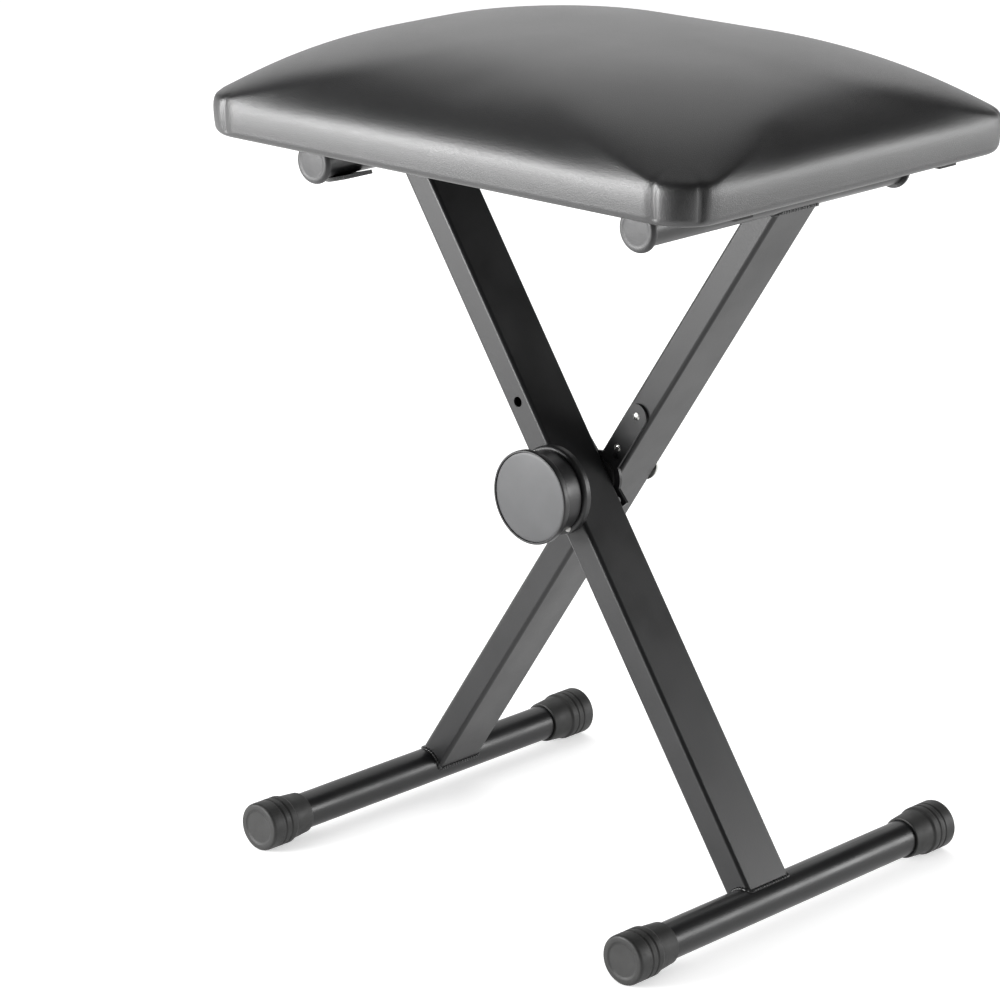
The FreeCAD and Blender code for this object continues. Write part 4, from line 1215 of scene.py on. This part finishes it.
@dataclass(frozen=True)
class Studio:
    """The floor, the light and the camera."""

    azimuth: float = 43.22
    elevation: float = 16.99
    distance: float = 2.56672
    focal_pixels: float = 4063.89
    image_width: float = 1000.0
    target: tuple[float, float, float] = (-0.08491, 0.0, 0.21392)
    floor_shade: float = 0.86
    floor_lift: float = 0.47
    room_light: float = 0.60
    floor_half: float = 6.0
    card_way: tuple[float, float] = (0.485, -0.875)
    card_distance: float = 0.80
    card_width: float = 0.80
    card_height: float = 0.55
    low_reflection: float = 1.0
    high_reflection: float = 0.06
    low_end: float = 0.05
    high_start: float = 0.40
    aim_height: float = 0.3
    lamps: tuple[Lamp, ...] = (
        Lamp("front_left", (-0.52, -0.84, 0.11), 2.3, 1.5, 0.80, 84.0),
        Lamp("back_right", (0.68, 0.70, 0.10), 2.3, 1.3, 0.60, 26.0),
        Lamp("back_left", (-0.66, 0.68, 0.72), 2.4, 2.4, 2.4, 20.0),
    )

    @staticmethod
    def stage_sheet(name: str, corners: list, board: NodeBoard) -> bpy.types.Object:
        """Make a flat four-cornered sheet of the studio in a board's material."""
        mesh = bpy.data.meshes.new(name)
        mesh.from_pydata(corners, [], [(0, 1, 2, 3)])
        mesh.materials.append(board.material)
        sheet = bpy.data.objects.new(name, mesh)
        bpy.context.scene.collection.objects.link(sheet)
        return sheet

    @staticmethod
    def seen_directly(tree: bpy.types.NodeTree) -> Socket:
        """Tell whether a ray comes from the camera, a reflection or a clear surface.

        Args:
            tree: The node tree to add to.

        Returns:
            A value of 1 for such rays and 0 for others.
        """
        path = tree.nodes.new("ShaderNodeLightPath")
        value = path.outputs["Is Camera Ray"]
        for name in ("Is Glossy Ray", "Is Transmission Ray"):
            either = tree.nodes.new("ShaderNodeMath")
            either.operation = "MAXIMUM"
            tree.links.new(value, either.inputs[0])
            tree.links.new(path.outputs[name], either.inputs[1])
            value = either.outputs["Value"]
        return value

    def lay_floor(self) -> None:
        """Lay a pale plain floor that looks white where it is lit and keeps the bench's shadow."""
        board = NodeBoard("floor_paper")
        shade = self.floor_shade
        board.shader.inputs["Base Color"].default_value = (shade, shade, shade, 1.0)
        board.shader.inputs["Roughness"].default_value = 0.9
        board.shader.inputs["Specular IOR Level"].default_value = 0.1
        board.shader.inputs["Emission Color"].default_value = (1.0, 1.0, 1.0, 1.0)
        lift = board.add("ShaderNodeMath")
        lift.operation = "MULTIPLY"
        lift.inputs[1].default_value = self.floor_lift
        board.join(self.seen_directly(board.tree), lift.inputs[0])
        board.join(lift.outputs["Value"], board.shader.inputs["Emission Strength"])
        self.open_from_below(board)
        half = self.floor_half
        corners = [(-half, -half, 0.0), (half, -half, 0.0), (half, half, 0.0), (-half, half, 0.0)]
        self.stage_sheet("floor", corners, board)

    @staticmethod
    def open_from_below(board: NodeBoard) -> None:
        """Let rays that meet the floor from below pass through it, so the underside can be seen."""
        clear = board.add("ShaderNodeBsdfTransparent")
        side = board.add("ShaderNodeNewGeometry")
        mix = board.add("ShaderNodeMixShader")
        board.join(side.outputs["Backfacing"], mix.inputs[0])
        board.join(board.shader.outputs["BSDF"], mix.inputs[1])
        board.join(clear.outputs["BSDF"], mix.inputs[2])
        board.join(mix.outputs["Shader"], board.output.inputs["Surface"])

    def stand_card(self) -> None:
        """Stand a black card that only reflections see, which darkens the seat's near corner."""
        way = np.array([*self.card_way, 0.0])
        across = np.array([-way[1], way[0], 0.0]) * self.card_width / 2
        up = np.array([0.0, 0.0, self.card_height])
        foot = way * self.card_distance
        corners = [foot - across, foot + across, foot + across + up, foot - across + up]
        board = NodeBoard("card_black")
        board.shader.inputs["Base Color"].default_value = (0.0, 0.0, 0.0, 1.0)
        board.shader.inputs["Specular IOR Level"].default_value = 0.0
        card = self.stage_sheet("card", [corner.tolist() for corner in corners], board)
        card.visible_camera = False
        card.visible_diffuse = False
        card.visible_transmission = False
        card.visible_shadow = False

    def set_world(self) -> None:
        """Set the world's light.

        The camera sees a white world. Reflections see it white at the horizon and darker
        overhead, as in a studio with a dark ceiling. All other rays see it at one even strength.
        """
        world = bpy.data.worlds.new("studio")
        bpy.context.scene.world = world
        world.use_nodes = True
        tree = world.node_tree
        tree.nodes.clear()
        output = tree.nodes.new("ShaderNodeOutputWorld")
        background = tree.nodes.new("ShaderNodeBackground")
        background.inputs["Color"].default_value = (1.0, 1.0, 1.0, 1.0)
        place = tree.nodes.new("ShaderNodeTexCoord")
        split = tree.nodes.new("ShaderNodeSeparateXYZ")
        tree.links.new(place.outputs["Generated"], split.inputs["Vector"])
        heights = (self.low_end, self.high_start)
        mirrored = remap(
            tree, split.outputs["Z"], heights, self.low_reflection, self.high_reflection, smooth=True)
        camera_ray = tree.nodes.new("ShaderNodeLightPath").outputs["Is Camera Ray"]
        seen = remap(tree, camera_ray, (0.0, 1.0), mirrored, 1.0)
        strength = remap(tree, self.seen_directly(tree), (0.0, 1.0), self.room_light, seen)
        tree.links.new(strength, background.inputs["Strength"])
        tree.links.new(background.outputs["Background"], output.inputs["Surface"])

    def hang_lamps(self) -> None:
        """Place the soft lamps, all turned towards the middle of the bench."""
        aim = Vector((0.0, 0.0, self.aim_height))
        for lamp in self.lamps:
            data = bpy.data.lights.new(lamp.name, "AREA")
            data.shape = "RECTANGLE"
            data.size = lamp.width
            data.size_y = lamp.height
            data.energy = lamp.watts
            placed = bpy.data.objects.new(lamp.name, data)
            bpy.context.scene.collection.objects.link(placed)
            placed.location = aim + Vector(lamp.way).normalized() * lamp.distance
            placed.rotation_euler = (aim - placed.location).to_track_quat("-Z", "Y").to_euler()
            placed.visible_camera = False

    def set_camera(self) -> None:
        """Place the camera at the photograph's angle.

        The camera stands at target + distance * (sin a cos e, -cos a cos e, sin e) for azimuth a
        and elevation e, and looks back at the target.
        """
        azimuth = math.radians(self.azimuth)
        elevation = math.radians(self.elevation)
        back = Vector((
            math.sin(azimuth) * math.cos(elevation),
            -math.cos(azimuth) * math.cos(elevation),
            math.sin(elevation),
        ))
        data = bpy.data.cameras.new("camera")
        data.sensor_fit = "HORIZONTAL"
        data.sensor_width = 36.0
        data.lens = self.focal_pixels / self.image_width * data.sensor_width
        camera = bpy.data.objects.new("camera", data)
        bpy.context.scene.collection.objects.link(camera)
        right = Vector((math.cos(azimuth), math.sin(azimuth), 0.0))
        up = back.cross(right)
        turn = Matrix((right, up, back)).transposed().to_4x4()
        camera.matrix_world = Matrix.Translation(Vector(self.target) + back * self.distance) @ turn
        bpy.context.scene.camera = camera

    def build(self) -> None:
        """Set the whole studio."""
        view = bpy.context.scene.view_settings
        view.view_transform = "Standard"
        self.lay_floor()
        self.stand_card()
        self.set_world()
        self.hang_lamps()
        self.set_camera()


def main() -> None:
    """Load the solids, add the soft and fine pieces, and set the studio."""
    logging.basicConfig(level=logging.INFO, format="%(name)s: %(message)s")
    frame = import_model()
    shop = Workshop(BenchSizes(), FinishRack())
    shop.finishes.dress_solids(frame)
    SeatCushion(shop).build()
    FootCaps(shop).build()
    BarPlugs(shop).build()
    PullKnob(shop).build()
    WeldBeads(shop).build()
    SmallFasteners(shop).build()
    Studio().build()


if __name__ == "__main__":
    main()
